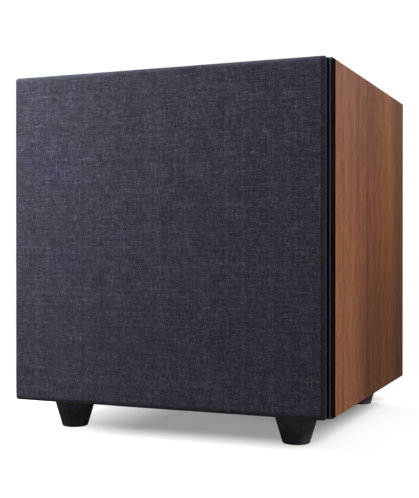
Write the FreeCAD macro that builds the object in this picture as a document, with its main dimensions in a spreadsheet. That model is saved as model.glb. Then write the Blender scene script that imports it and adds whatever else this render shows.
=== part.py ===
import FreeCAD
import Part
import Sketcher
import os
import math
from FreeCAD import Vector

# Powered bookshelf-style subwoofer: a walnut-wrapped MDF cube on four tapered
# rubber feet, a cloth-covered pull-off grille in front of an 8 inch woofer, and
# an amplifier plate with its controls in the back.
#
# Frame: origin on the floor under the centre of the cabinet, +Z up, the grille
# faces -Y and the amplifier plate faces +Y.  Millimetres.

doc = FreeCAD.newDocument("Subwoofer")

# -------------------------------------------------------- driving dimensions
TABLE = [
    # cabinet
    ("cab_width", 300.0), ("cab_height", 298.0), ("cab_depth", 296.0),
    ("board", 15.0), ("wrap_skin", 0.5), ("baffle_face", 12.0),
    ("baffle_boss", 6.0), ("baffle_edge", 1.5), ("slip", 0.1),
    # feet
    ("foot_height", 28.0), ("foot_top_dia", 39.8), ("foot_base_dia", 24.4),
    ("foot_x", 109.75), ("foot_y", 116.0), ("foot_bore", 5.4),
    # grille
    ("grille_width", 296.2), ("grille_height", 297.2), ("cloth", 0.8),
    ("grille_thick", 13.0), ("grille_gap", 0.5), ("grille_round", 4.5),
    ("grille_corner", 2.5), ("cloth_wrap", 4.8),
    ("grille_opening", 236.0), ("peg_x", 128.0),
    ("peg_z", 127.0), ("peg_dia", 5.6), ("socket_bore", 6.4),
    # woofer
    ("driver_dia", 210.0), ("driver_cutout", 184.0), ("driver_pcd", 198.0),
    ("flange", 4.0), ("gasket", 1.0), ("coil_former_r", 19.5),
    ("magnet_dia", 120.0), ("magnet_thick", 20.0), ("plate_thick", 6.0),
    ("wood_screw", 3.9), ("pilot", 4.0),
    # port
    ("port_z", 255.0), ("port_bore", 55.0), ("port_length", 110.0),
    # amplifier plate
    ("amp_width", 230.0), ("amp_height", 150.0), ("amp_z", 125.0),
    ("amp_plate", 2.5), ("amp_seal", 1.5), ("amp_cut_x", 210.0),
    ("amp_cut_z", 130.0), ("control_z", 160.0), ("volume_x", 78.0),
    ("crossover_x", 34.0), ("phase_x", -6.0), ("mode_x", -36.0),
    ("knob_dia", 24.0), ("knob_tip", 13.5), ("shaft_dia", 6.0),
    ("shaft_bore", 6.1), ("bushing_dia", 6.9),
    ("rca_x", 77.0), ("rca_pitch", 18.0), ("rca_z", 92.0),
    ("rca_dia", 8.3), ("rca_pin", 3.2),
    ("inlet_x", -72.0), ("inlet_z", 92.0), ("rocker_x", -72.0),
    ("rocker_z", 150.0), ("light_x", -21.0), ("light_z", 180.0),
    ("toroid_x", -10.0), ("toroid_z", 97.0),
]
sheet = doc.addObject("Spreadsheet::Sheet", "dims")
for row, (alias, value) in enumerate(TABLE, start=1):
    sheet.set("A%d" % row, alias)
    sheet.set("B%d" % row, str(value))
    sheet.setAlias("B%d" % row, alias)
doc.recompute()


class Dim:
    """A number together with the spreadsheet expression that gives it."""

    def __init__(self, value, text):
        self.value = float(value)
        self.text = text

    def _join(self, other, sign, result):
        other = dim(other)
        text = "(%s %s %s)" % (self.text, sign, other.text)
        return Dim(result(self.value, other.value), text)

    def __add__(self, other):
        return self._join(other, "+", lambda a, b: a + b)

    def __radd__(self, other):
        return dim(other) + self

    def __sub__(self, other):
        return self._join(other, "-", lambda a, b: a - b)

    def __rsub__(self, other):
        return dim(other) - self

    def __mul__(self, other):
        return self._join(other, "*", lambda a, b: a * b)

    def __truediv__(self, other):
        return self._join(other, "/", lambda a, b: a / b)

    def __neg__(self):
        return Dim(-self.value, "(0 - %s)" % self.text)


def dim(number):
    if isinstance(number, Dim):
        return number
    number = float(number)
    return Dim(number, "%.6f" % number if number >= 0 else "(0 - %.6f)" % -number)


class Sizes:
    """The spreadsheet's dimensions, one attribute for each alias."""


dims = Sizes()
for alias, value in TABLE:
    setattr(dims, alias, Dim(value, "dims." + alias))

# ---------------------------------------------------------- document helpers
made = []           # every piece, in order
feature_count = {}  # keeps feature names unique


def numbered(body, what):
    key = body.Name + what
    feature_count[key] = feature_count.get(key, 0) + 1
    return "%s_%s%d" % (body.Name, what, feature_count[key])


def driven(number):
    return "dims." in number.text


def bind(obj, prop, number):
    """Ties a property to the spreadsheet when the number depends on it."""
    if driven(number):
        obj.setExpression(prop, number.text)


def new_body(label, at=(0, 0, 0)):
    body = doc.addObject("PartDesign::Body", label)
    body.Label = label
    place = [dim(number) for number in at]
    base = Vector(*[number.value for number in place])
    body.Placement = FreeCAD.Placement(base, FreeCAD.Rotation())
    for axis, number in zip("xyz", place):
        bind(body, "Placement.Base." + axis, number)
    made.append(body)
    return body


def role(body, name):
    for feature in body.Origin.OriginFeatures:
        if feature.Role == name:
            return feature


# ------------------------------------------------------------ sketch helpers
def new_sketch(body, plane, level=0, shift=(0, 0)):
    """A sketch on an origin plane of its body.  level is the plane's place
    along the axis it is square to, shift moves the sketch's own origin."""
    sketch = body.newObject("Sketcher::SketchObject", numbered(body, "sketch"))
    sketch.AttachmentSupport = [(role(body, plane + "_Plane"), "")]
    sketch.MapMode = "FlatFace"
    offset = dim(level)
    if plane == "XZ":
        offset = -offset          # this plane's normal is -Y
    place = [dim(shift[0]), dim(shift[1]), offset]
    base = Vector(*[number.value for number in place])
    sketch.AttachmentOffset = FreeCAD.Placement(base, FreeCAD.Rotation())
    for axis, number in zip("xyz", place):
        bind(sketch, "AttachmentOffset.Base." + axis, number)
    return sketch


def facing(body, y=0):
    """A sketch in (x, z), square to Y."""
    return new_sketch(body, "XZ", y)


def hold(sketch, number, *constraint):
    """Adds a constraint with a value, tied to the spreadsheet if driven."""
    index = sketch.addConstraint(Sketcher.Constraint(*constraint, number.value))
    if driven(number):
        name = "held%d" % index
        sketch.renameConstraint(index, name)
        sketch.setExpression("Constraints." + name, number.text)


def pin(sketch, geometry, position, x, y):
    hold(sketch, dim(x), "DistanceX", -1, 1, geometry, position)
    hold(sketch, dim(y), "DistanceY", -1, 1, geometry, position)


def arc_between(start, end, radius):
    """An arc, counter-clockwise from start to end if radius > 0."""
    half = (end - start).Length / 2
    rise = math.sqrt(max(radius * radius - half * half, 0.0))
    along = (end - start).normalize()
    left = Vector(-along.y, along.x, 0)
    centre = (start + end) * 0.5 + left * (rise if radius > 0 else -rise)
    first, last = (start, end) if radius > 0 else (end, start)
    angle0 = math.atan2(first.y - centre.y, first.x - centre.x)
    angle1 = math.atan2(last.y - centre.y, last.x - centre.x)
    if angle1 < angle0:
        angle1 += 2 * math.pi
    return Part.ArcOfCircle(Part.Circle(centre, Vector(0, 0, 1), abs(radius)), angle0, angle1)


def loop(sketch, points):
    """A closed outline.  Each entry is (x, y), or (x, y, r) when the edge that
    leaves that point is an arc of radius r: counter-clockwise if r > 0."""
    corners = [Vector(dim(point[0]).value, dim(point[1]).value, 0) for point in points]
    ends = []       # geometry, its starting vertex, its ending vertex
    for i, point in enumerate(points):
        start, end = corners[i], corners[(i + 1) % len(points)]
        if len(point) == 2:
            geometry = sketch.addGeometry(Part.LineSegment(start, end), False)
            ends.append((geometry, 1, 2))
        else:
            radius = dim(point[2]).value
            geometry = sketch.addGeometry(arc_between(start, end, radius), False)
            ends.append((geometry, 1, 2) if radius > 0 else (geometry, 2, 1))
    for i, (geometry, _, last) in enumerate(ends):
        following, first, _ = ends[(i + 1) % len(ends)]
        sketch.addConstraint(Sketcher.Constraint("Coincident", geometry, last, following, first))
    for (geometry, first, _), point in zip(ends, points):
        pin(sketch, geometry, first, point[0], point[1])
        if len(point) == 3:
            radius = dim(point[2])
            hold(sketch, radius if radius.value > 0 else -radius, "Radius", geometry)
    return sketch


def rect(sketch, x0, y0, x1, y1):
    return loop(sketch, [(x0, y0), (x1, y0), (x1, y1), (x0, y1)])


def centred(sketch, x, y, half_x, half_y):
    """A rectangle about (x, y)."""
    return rect(sketch, x - half_x, y - half_y, x + half_x, y + half_y)


def rounded(sketch, w, h, r):
    """A 2w by 2h outline about the sketch's origin, its corners of radius r."""
    return loop(sketch, [(-w + r, -h), (w - r, -h, r), (w, -h + r), (w, h - r, r),
                         (w - r, h), (-w + r, h, r), (-w, h - r), (-w, -h + r, r)])


def polar(radius, degrees, x=0, y=0):
    angle = math.radians(degrees)
    return (x + radius * math.cos(angle), y + radius * math.sin(angle))


def hexagons(sketch, spots, radius):
    """Hexagons whose corners lie at the given radius."""
    for x, y in spots:
        loop(sketch, [polar(radius, 60 * k, x, y) for k in range(6)])
    return sketch


def circle(sketch, x, y, radius):
    radius = dim(radius)
    centre = Vector(dim(x).value, dim(y).value, 0)
    shape = Part.Circle(centre, Vector(0, 0, 1), radius.value)
    geometry = sketch.addGeometry(shape, False)
    pin(sketch, geometry, 3, x, y)
    hold(sketch, radius, "Radius", geometry)
    return sketch


def circles(sketch, spots, radius):
    for x, y in spots:
        circle(sketch, x, y, radius)
    return sketch


def corner_spots(x, y, centre_y=0):
    """Four spots at +-x and +-y about (0, centre_y)."""
    return [(x * sx, centre_y + y * sy) for sx in (-1, 1) for sy in (-1, 1)]


# ----------------------------------------------------------- feature helpers
def volume(body):
    return body.Shape.Volume if body.Tip is not None and not body.Shape.isNull() else 0.0


def settle(body, before, growing):
    doc.recompute()
    now = body.Shape.Volume
    if growing and now <= before + 1e-6:
        raise RuntimeError("%s: a feature added nothing" % body.Label)
    if not growing and now >= before - 1e-6:
        raise RuntimeError("%s: a feature cut nothing" % body.Label)


def extrude(body, kind, sketch, length, reverse=False):
    before = volume(body)
    feature = body.newObject("PartDesign::" + kind, numbered(body, kind.lower()))
    feature.Profile = sketch
    feature.Reversed = reverse
    length = dim(length)
    feature.Length = length.value
    bind(feature, "Length", length)
    settle(body, before, kind == "Pad")
    return feature


def pad(body, sketch, length):
    """Pads along the plane's normal: -Y from XZ, +Z from XY."""
    return extrude(body, "Pad", sketch, length)


def pocket(body, sketch, length, reverse=False):
    """Cuts against the plane's normal: +Y from XZ, -Z from XY."""
    return extrude(body, "Pocket", sketch, length, reverse)


def turn(body, sketch, axis="H_Axis"):
    before = volume(body)
    feature = body.newObject("PartDesign::Revolution", numbered(body, "turn"))
    feature.Profile = sketch
    feature.ReferenceAxis = (sketch, [axis])
    feature.Angle = 360
    settle(body, before, True)
    return feature


def lathe(body, profile, level=0, shift=(0, 0)):
    """Turns a profile of (y, radius) points round a line along Y."""
    return turn(body, loop(new_sketch(body, "YZ", level, shift), profile))


def turned(label, at, profile):
    """A whole piece turned from one profile of (y, radius) points."""
    body = new_body(label, at)
    lathe(body, profile)
    return body


def around_y(body, feature, number):
    """Repeats a feature round the Y axis of the body's origin."""
    ring = body.newObject("PartDesign::PolarPattern", numbered(body, "ring"))
    ring.Originals = [feature]
    ring.Axis = (role(body, "Y_Axis"), [""])
    ring.Angle = 360
    ring.Occurrences = number
    body.Tip = ring
    doc.recompute()


def quarters(body, feature, planes):
    """Mirrors a feature over two origin planes, which makes four of it."""
    mirror = body.newObject("PartDesign::MultiTransform", numbered(body, "mirror"))
    mirror.Originals = [feature]
    steps = []
    for plane in planes:
        step = doc.addObject("PartDesign::Mirrored", numbered(body, "half"))
        body.addObject(step)
        step.MirrorPlane = (role(body, plane), [""])
        steps.append(step)
    mirror.Transformations = steps
    body.Tip = mirror
    doc.recompute()


def soften(body, test, size, kind="Fillet"):
    """Fillets or chamfers the edges that pass the test."""
    base = body.Tip
    names = ["Edge%d" % i for i, edge in enumerate(base.Shape.Edges, start=1) if test(edge)]
    if not names:
        raise RuntimeError("%s: no edge matches" % body.Label)
    feature = body.newObject("PartDesign::" + kind, numbered(body, kind.lower()))
    feature.Base = (base, names)
    size = dim(size)
    prop = "Radius" if kind == "Fillet" else "Size"
    setattr(feature, prop, size.value)
    bind(feature, prop, size)
    body.Tip = feature
    doc.recompute()
    if "Invalid" in feature.State or "Error" in feature.State:
        raise RuntimeError("%s: rounding failed on %d edges" % (body.Label, len(names)))


# Edge tests, in the body's own frame
def at_y(y):
    y = dim(y).value
    return lambda edge: (all(abs(v.Point.y - y) < 0.01 for v in edge.Vertexes)
                         and abs(edge.BoundBox.YMin - y) < 0.05
                         and abs(edge.BoundBox.YMax - y) < 0.05)


def at_z(z):
    z = dim(z).value
    return lambda edge: (abs(edge.BoundBox.ZMin - z) < 0.05
                         and abs(edge.BoundBox.ZMax - z) < 0.05)


def round_edge(radius):
    radius = dim(radius).value
    return lambda edge: (edge.Curve.TypeId == "Part::GeomCircle"
                         and abs(edge.Curve.Radius - radius) < 0.02)


def along_y(edge):
    box = edge.BoundBox
    return box.YLength > 1 and box.XLength < 0.01 and box.ZLength < 0.01


def within(reach):
    return lambda edge: (abs(edge.BoundBox.Center.x) < reach
                         and abs(edge.BoundBox.Center.z) < reach)


def both(*tests):
    return lambda edge: all(test(edge) for test in tests)


# ---------------------------------------------------------- shared positions
# skin_* is the inside of the veneer, room_* the inside of the boards
half_w = dims.cab_width / 2
z_low = dims.foot_height
z_top = dims.foot_height + dims.cab_height
z_mid = dims.foot_height + dims.cab_height / 2
y_front = -(dims.cab_depth / 2)
y_back = dims.cab_depth / 2
y_board = y_front + dims.baffle_face
skin_x = half_w - dims.wrap_skin
room_x = skin_x - dims.board
skin_low = z_low + dims.wrap_skin
skin_top = z_top - dims.wrap_skin
room_low = skin_low + dims.board
room_top = skin_top - dims.board

foot_spots = corner_spots(dims.foot_x, dims.foot_y)
driver_r = dims.driver_dia / 2
cutout_r = dims.driver_cutout / 2
socket_r = dims.socket_bore / 2
port_flare_r = 39.0


def driver_spots(centre_z=0):
    """The woofer's eight screws."""
    return [polar(dims.driver_pcd / 2, 22.5 + 45 * k, 0, centre_z) for k in range(8)]


# Amplifier plate: inner face, rebate floor, control depths and screws
plate_inner = y_back - dims.amp_plate
seat = plate_inner - dims.amp_seal
pot_front, pot_back = y_back - 12, y_back - 20
amp_half_w, amp_half_h = dims.amp_width / 2, dims.amp_height / 2
amp_cut_half_x, amp_cut_half_z = dims.amp_cut_x / 2, dims.amp_cut_z / 2
AMP_SCREW_INSET = 5.0
AMP_INNER_SCREW_X = 37.0


def amp_spots(centre_z=0):
    """The plate's ten screws: three up each side, two more top and bottom."""
    x, z = amp_half_w - AMP_SCREW_INSET, amp_half_h - AMP_SCREW_INSET
    spots = [(x * sx, centre_z + z * sz) for sx in (-1, 1) for sz in (-1, 0, 1)]
    return spots + corner_spots(AMP_INNER_SCREW_X, z, centre_z)


# ------------------------------------------------------------------- cabinet
def inside_boards(sketch):
    """The cabinet's inner outline, less a sliding clearance."""
    slip = dims.slip
    return rect(sketch, -room_x + slip, room_low + slip, room_x - slip, room_top - slip)


def front_baffle():
    body = new_body("front_baffle")
    pad(body, rect(facing(body, y_board), -half_w, z_low, half_w, z_top), dims.baffle_face)
    pad(body, inside_boards(facing(body, y_board + dims.baffle_boss)), dims.baffle_boss)
    soften(body, at_y(y_front), dims.baffle_edge)
    # woofer cutout and the recess for its flange
    pocket(body, circle(facing(body, y_front), 0, z_mid, cutout_r),
           dims.baffle_face + dims.baffle_boss)
    recess = dims.flange + dims.gasket
    pocket(body, circle(facing(body, y_front), 0, z_mid, driver_r + 0.6), recess)
    pocket(body, circles(facing(body, y_front + recess), driver_spots(z_mid), dims.pilot / 2),
           12.5)
    # stepped holes for the grille sockets: (clearance over the bore, depth)
    spots = corner_spots(dims.peg_x, dims.peg_z, z_mid)
    for extra, depth in ((1.8, 13), (3.4, 1)):
        pocket(body, circles(facing(body, y_front), spots, socket_r + extra), depth)


def panel(label, points):
    """A mitred board, from the baffle to just short of the back."""
    end = y_back - dims.wrap_skin
    body = new_body(label)
    pad(body, loop(facing(body, end), points), end - y_board)
    return body


def panels():
    panel("left_panel", [(-skin_x, skin_low), (-room_x, room_low),
                         (-room_x, room_top), (-skin_x, skin_top)])
    panel("right_panel", [(skin_x, skin_low), (skin_x, skin_top),
                          (room_x, room_top), (room_x, room_low)])
    panel("top_panel", [(-skin_x, skin_top), (-room_x, room_top),
                        (room_x, room_top), (skin_x, skin_top)])
    bottom = panel("bottom_panel", [(-skin_x, skin_low), (skin_x, skin_low),
                                    (room_x, room_low), (-room_x, room_low)])
    holes = circles(new_sketch(bottom, "XY", skin_low), foot_spots, dims.pilot / 2)
    pocket(bottom, holes, 14.5, reverse=True)


def rear_panel():
    screw_depth = 10
    y_inner = y_back - dims.board
    body = new_body("rear_panel")
    pad(body, inside_boards(facing(body, y_back)), dims.board)
    # rebate for the amplifier plate, with 0.5 to spare all round
    pocket(body, centred(facing(body, seat), 0, dims.amp_z, amp_half_w + 0.5, amp_half_h + 0.5),
           dims.amp_plate + dims.amp_seal)
    pocket(body, centred(facing(body, y_inner), 0, dims.amp_z, amp_cut_half_x, amp_cut_half_z),
           dims.board)
    pocket(body, circle(facing(body, y_inner), 0, dims.port_z, port_flare_r + 0.2), dims.board)
    pocket(body, circles(facing(body, seat - screw_depth), amp_spots(dims.amp_z), 1.6),
           screw_depth)


def walnut_wrap():
    """One sheet folded round the four boards, with a turned-in lip at the back."""
    overlap = 0.1
    body = new_body("walnut_wrap")
    sketch = rect(facing(body, y_back), -half_w, z_low, half_w, z_top)
    rect(sketch, -skin_x, skin_low, skin_x, skin_top)
    pad(body, sketch, y_back - y_board)
    sketch = rect(facing(body, y_back), -skin_x - overlap, skin_low - overlap,
                  skin_x + overlap, skin_top + overlap)
    rect(sketch, -room_x, room_low, room_x, room_top)
    pad(body, sketch, dims.wrap_skin)
    pocket(body, circles(new_sketch(body, "XY", z_low), foot_spots, 3.0),
           dims.wrap_skin, reverse=True)


def port_tube():
    """Flared reflex port; local y 0 is the rear panel's outer face."""
    bore_r = dims.port_bore / 2
    turned("port_tube", (0, y_back, dims.port_z), [
        (-dims.port_length, bore_r), (-dims.port_length, bore_r + 2.5), (-16, bore_r + 2.5),
        (-10, port_flare_r), (0, port_flare_r), (0, 44), (1.5, 44, -1.0), (2.5, 43),
        (2.5, 40.0, -26.5), (-20, bore_r)])


def wadding_pads():
    near, far = 0.2, 14.2       # a pad's two faces, measured from the board
    side_low, side_top, top_half_w = 56, 300, 112
    y_end, depth = 118, 236
    body = new_body("wadding_pads")
    sketch = rect(facing(body, y_end), -room_x + near, side_low, -room_x + far, side_top)
    rect(sketch, room_x - far, side_low, room_x - near, side_top)
    rect(sketch, -top_half_w, room_top - far, top_half_w, room_top - near)
    pad(body, sketch, depth)


# ---------------------------------------------------------------------- feet
washer_low = dims.foot_height - 11
washer_thick = 1
foot_head = 2.8


def rubber_feet():
    top, base_r, top_r = dims.foot_height, dims.foot_base_dia / 2, dims.foot_top_dia / 2
    screw_r = 2.7
    body = new_body("rubber_feet")
    # (radius, z) about one foot's own axis
    sketch = loop(new_sketch(body, "XZ", -dims.foot_y, (dims.foot_x, 0)), [
        (screw_r, top - 10), (dims.foot_bore, top - 10), (dims.foot_bore, 0),
        (base_r - 1.4, 0, 1.5), (base_r, 1.2), (top_r, top - 1.5), (top_r, top),
        (screw_r, top)])
    quarters(body, turn(body, sketch, "V_Axis"), ["YZ_Plane", "XZ_Plane"])


def foot_washers():
    body = new_body("foot_washers")
    sketch = circles(new_sketch(body, "XY", washer_low), foot_spots, 5.1)
    pad(body, circles(sketch, foot_spots, 2.3), washer_thick)


def foot_screws():
    head_r, shank_length = 4.1, 25.5
    head_low = washer_low - foot_head
    body = new_body("foot_screws")
    pad(body, circles(new_sketch(body, "XY", head_low), foot_spots, head_r), foot_head)
    soften(body, both(at_z(head_low), round_edge(head_r)), 1.6)
    shanks = circles(new_sketch(body, "XY", washer_low), foot_spots, dims.wood_screw / 2)
    pad(body, shanks, shank_length)
    pocket(body, hexagons(new_sketch(body, "XY", head_low), foot_spots, 1.7), 1.6,
           reverse=True)


# -------------------------------------------------------------------- woofer
# Local y is the depth behind the baffle's face, on the woofer's axis.
driver = (0, y_front, z_mid)
coil_r = dims.coil_former_r
motor_front = 54
magnet_front = motor_front + dims.plate_thick
magnet_back = magnet_front + dims.magnet_thick


def woofer_basket():
    body = turned("woofer_basket", driver, [
        (0, driver_r), (0, 92.2), (2, 92.2), (2, 85), (17, 84.8), (38, 64.5), (41, 64.5),
        (41, 54), (52, 52), (52, 26.5), (motor_front, 26.5), (motor_front, 54.2), (43, 56.2),
        (43, 66.5), (39, 66.5), (18.5, 86.9), (dims.flange, 87.4), (dims.flange, driver_r)])
    # eight windows in the sloping wall
    outer_r, inner_r, half_angle = 83.5, 68, 16
    start, end = 22.5 - half_angle, 22.5 + half_angle
    window = loop(facing(body, 18), [
        (*polar(outer_r, start), outer_r), polar(outer_r, end),
        (*polar(inner_r, end), -inner_r), polar(inner_r, start)])
    around_y(body, pocket(body, window, 22), 8)
    pocket(body, circles(facing(body), driver_spots(), 2.3), dims.flange)
    soften(body, both(at_y(0), round_edge(driver_r)), 1.0)


def woofer_gasket():
    body = new_body("woofer_gasket", driver)
    sketch = circle(facing(body, dims.flange + dims.gasket), 0, 0, driver_r - 0.2)
    circle(sketch, 0, 0, cutout_r + 1)
    pad(body, circles(sketch, driver_spots(), 2.4), dims.gasket)


def woofer_screws():
    head_r, head, shank = 4.2, 2.4, 16.8
    body = new_body("woofer_screws", driver)
    pad(body, circles(facing(body), driver_spots(), head_r), head)
    soften(body, both(at_y(-head), round_edge(head_r)), 1.5)
    pad(body, circles(facing(body, shank), driver_spots(), dims.wood_screw / 2), shank)
    pocket(body, hexagons(facing(body, -head), driver_spots(), 1.8), 1.4)


def trim_ring():
    turned("trim_ring", driver, [
        (1.2, 86.8), (1.2, 92.0), (0.3, 92.0), (-0.4, 91.2), (-0.4, 87.6), (0.3, 86.8)])


def surround():
    turned("surround", driver, [
        (1.2, 92), (1.2, 86, 6.0), (-4.8, 80, 6.0), (1.2, 74), (1.2, 69.8), (2.0, 69.8),
        (2.0, 74.8), (1.2, 74.8, -5.2), (-4.0, 80, -5.2), (1.2, 85.2), (2.0, 85.2), (2.0, 92)])


def cone():
    turned("cone", driver, [
        (2.02, 74.4), (2.02, 69.6), (31.0, 20.6), (31.0, coil_r + 0.1), (34.0, coil_r + 0.1),
        (34.0, 20.6), (33.2, 20.6), (3.4, 70.4), (3.4, 74.4)])


def dust_cap():
    dome_r = 66.31
    turned("dust_cap", driver, [
        (22.0, 34.2, dome_r), (12.5, 0), (13.4, 0, -dome_r), (22.9, 34.2)])


def voice_coil():
    # label: front y, inner radius, back y, outer radius
    for label, section in (
            ("coil_former", (27.5, coil_r - 0.3, 66, coil_r)),
            ("coil_winding", (49, coil_r + 0.05, 65, coil_r + 1.25))):
        body = new_body(label, driver)
        turn(body, rect(new_sketch(body, "YZ"), *section))


def spider():
    """A corrugated disc: nine folds between a flat rim and a flat collar."""
    thick, flat_y, fold_y, fold_height, fold_pitch = 0.6, 40.4, 38.9, 3, 3
    folds = [(fold_y + fold_height * (k % 2), 50 - fold_pitch * k) for k in range(9)]
    front = [(flat_y, 63.5), (flat_y, 53.0)] + folds + [(flat_y, 23.0), (flat_y, coil_r + 0.1)]
    back = [(y + thick, radius) for y, radius in reversed(front)]
    turned("spider", driver, front + back)


def motor_top_plate():
    bore_r, rim_r, bevel = 21.3, 50, 1
    turned("motor_top_plate", driver, [
        (motor_front, bore_r), (motor_front, rim_r - bevel), (motor_front + bevel, rim_r),
        (magnet_front - bevel, rim_r), (magnet_front, rim_r - bevel), (magnet_front, bore_r)])


def magnet():
    bore_r, rim_r, bevel = 27, dims.magnet_dia / 2, 1.5
    turned("magnet", driver, [
        (magnet_front, bore_r), (magnet_front, rim_r - bevel), (magnet_front + bevel, rim_r),
        (magnet_back - bevel, rim_r), (magnet_back, rim_r - bevel), (magnet_back, bore_r)])


def motor_yoke():
    pole_r = coil_r - 1.1
    turned("motor_yoke", driver, [
        (motor_front, 6), (motor_front, pole_r), (magnet_back, pole_r), (magnet_back, 52),
        (magnet_back + 5, 52), (magnet_back + 7, 48), (magnet_back + 7, 9),
        (magnet_back + 4, 6)])


def woofer_terminals():
    body = new_body("woofer_terminals", driver)
    pad(body, rect(facing(body, 45), -16, -68.4, 16, -57.2), 2)
    sketch = facing(body, 54)
    for x in (-5, 5):
        centred(sketch, x, -62, 2.4, 0.4)
    pad(body, sketch, 9)


def tinsel_leads():
    """Bowed runs from the terminal strip to the back of the cone."""
    # (y, z) places
    strip, cone_end, centre = Vector(43.0, -67.4, 0), Vector(16.4, -50.0, 0), Vector(34.3, -52.15, 0)
    radius = (strip - centre).Length
    angles = [math.atan2(end.y - centre.y, end.x - centre.x) for end in (cone_end, strip)]
    body = new_body("tinsel_leads", driver)
    for x in (-13, 13):
        path = new_sketch(body, "YZ", x)
        bow = Part.ArcOfCircle(Part.Circle(centre, Vector(0, 0, 1), radius), *angles)
        geometry = path.addGeometry(bow, False)
        pin(path, geometry, 1, cone_end.x, cone_end.y)
        pin(path, geometry, 2, strip.x, strip.y)
        path.addConstraint(Sketcher.Constraint("Radius", geometry, radius))
        section = circle(facing(body, strip.x), x, strip.y, 0.7)
        doc.recompute()
        before = volume(body)
        pipe = body.newObject("PartDesign::AdditivePipe", numbered(body, "pipe"))
        pipe.Profile = section
        pipe.Spine = (path, ["Edge1"])
        settle(body, before, True)


# -------------------------------------------------------------------- grille
grille_at = (0, 0, z_mid)
grille_back = y_front - dims.grille_gap
grille_front = grille_back - dims.grille_thick
grille_half_w, grille_half_h = dims.grille_width / 2, dims.grille_height / 2
peg_r = dims.peg_dia / 2


def grille_outline(body, y, inset):
    """The grille's rounded outline, moved in all round by an inset."""
    return rounded(facing(body, y), grille_half_w - inset, grille_half_h - inset,
                   dims.grille_corner - inset)


def grille_frame():
    """A board whose rim is rebated for the cloth; the bare rim behind it stays flush."""
    lip = 0.2
    peg_depth = 6.7
    face = grille_front + dims.cloth
    body = new_body("grille_frame", grille_at)
    pad(body, grille_outline(body, grille_back, lip),
        dims.grille_thick - dims.cloth_wrap - 0.2)
    pad(body, grille_outline(body, grille_back, dims.cloth), dims.grille_thick - dims.cloth)
    soften(body, at_y(face), dims.grille_round - dims.cloth)
    # the square opening, its corners rounded and its front edge bevelled
    half_opening = dims.grille_opening / 2
    pocket(body, centred(facing(body, face), 0, 0, half_opening, half_opening),
           dims.grille_thick)
    soften(body, both(along_y, within(120)), 16)
    soften(body, both(at_y(face), within(120)), 4.0, "Chamfer")
    spots = corner_spots(dims.peg_x, dims.peg_z)
    pocket(body, circles(facing(body, grille_back - peg_depth), spots, peg_r + 0.02),
           peg_depth)


def grille_cloth():
    """One drawn sheet, open at the back, its edge glued into the frame's rebate."""
    thick = dims.cloth - 0.05
    body = new_body("grille_cloth", grille_at)
    pad(body, grille_outline(body, grille_front + dims.cloth_wrap, 0), dims.cloth_wrap)
    pocket(body, grille_outline(body, grille_front + thick, thick), dims.cloth_wrap)
    soften(body, at_y(grille_front + thick), 3.7)
    soften(body, at_y(grille_front), dims.grille_round - 0.05)


def four_turned(label, profile):
    """The same turned shape at each of the four peg places."""
    body = new_body(label, grille_at)
    quarters(body, lathe(body, profile, dims.peg_x, (0, dims.peg_z)),
             ["YZ_Plane", "XY_Plane"])


def grille_pegs():
    root, tip = grille_back - 6.6, y_front + 10.5
    four_turned("grille_pegs", [
        (root, 0), (root, peg_r), (grille_back, peg_r), (grille_back, 5.0),
        (grille_back + 0.3, 5.0), (grille_back + 0.3, peg_r - 0.4), (y_front + 7, peg_r - 0.4),
        (y_front + 8, peg_r + 0.3), (y_front + 9, peg_r + 0.3), (tip, peg_r - 1.0), (tip, 0)])


def grille_sockets():
    rim_r, wall_r = socket_r + 3.3, socket_r + 1.7
    floor, end = y_front + 11.6, y_front + 12.8
    four_turned("grille_sockets", [
        (y_front, socket_r), (y_front, rim_r), (y_front + 1, rim_r), (y_front + 1, wall_r),
        (end, wall_r), (end, 0), (floor, 0), (floor, socket_r)])


# ----------------------------------------------------------- amplifier plate
amp_at = (0, 0, dims.amp_z)
control_at = (0, 0, dims.control_z)
inlet_at = (dims.inlet_x, 0, dims.inlet_z)
toroid_at = (dims.toroid_x, 0, dims.toroid_z)
shaft_r = dims.shaft_dia / 2
bushing_r = dims.bushing_dia / 2
rca_r = dims.rca_dia / 2
pot_xs = (dims.volume_x, dims.crossover_x)
pot_spots = [(x, 0) for x in pot_xs]
switch_xs = (dims.phase_x, dims.mode_x)
rca_xs = [dims.rca_x + dims.rca_pitch / 2 * side for side in (-1, 1)]
rca_spots = [(x, 0) for x in rca_xs]


def amp_plate():
    body = new_body("amp_plate", amp_at)
    pad(body, centred(facing(body, y_back), 0, 0, amp_half_w, amp_half_h), dims.amp_plate)
    soften(body, along_y, 4)
    soften(body, at_y(y_back), 0.5)
    # every opening; heights are taken from the plate's centre
    sketch = circles(facing(body, plate_inner), amp_spots(), 2.2)
    control_z = dims.control_z - dims.amp_z
    circles(sketch, [(x, control_z) for x in pot_xs], bushing_r + 0.15)
    for x in switch_xs:
        centred(sketch, x, control_z, 4.6, 1.8)
    circles(sketch, [(x, dims.rca_z - dims.amp_z) for x in rca_xs], rca_r + 0.45)
    circle(sketch, dims.light_x, dims.light_z - dims.amp_z, 1.6)
    centred(sketch, dims.inlet_x, dims.inlet_z - dims.amp_z, 13.8, 18.3)
    centred(sketch, dims.rocker_x, dims.rocker_z - dims.amp_z, 9.5, 6.6)
    circle(sketch, dims.toroid_x, dims.toroid_z - dims.amp_z, 2.6)
    pocket(body, sketch, dims.amp_plate)


def amp_gasket():
    body = new_body("amp_gasket", amp_at)
    sketch = centred(facing(body, plate_inner), 0, 0, amp_half_w, amp_half_h)
    centred(sketch, 0, 0, amp_cut_half_x + 0.5, amp_cut_half_z + 0.5)
    pad(body, circles(sketch, amp_spots(), 2.3), dims.amp_seal)


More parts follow.
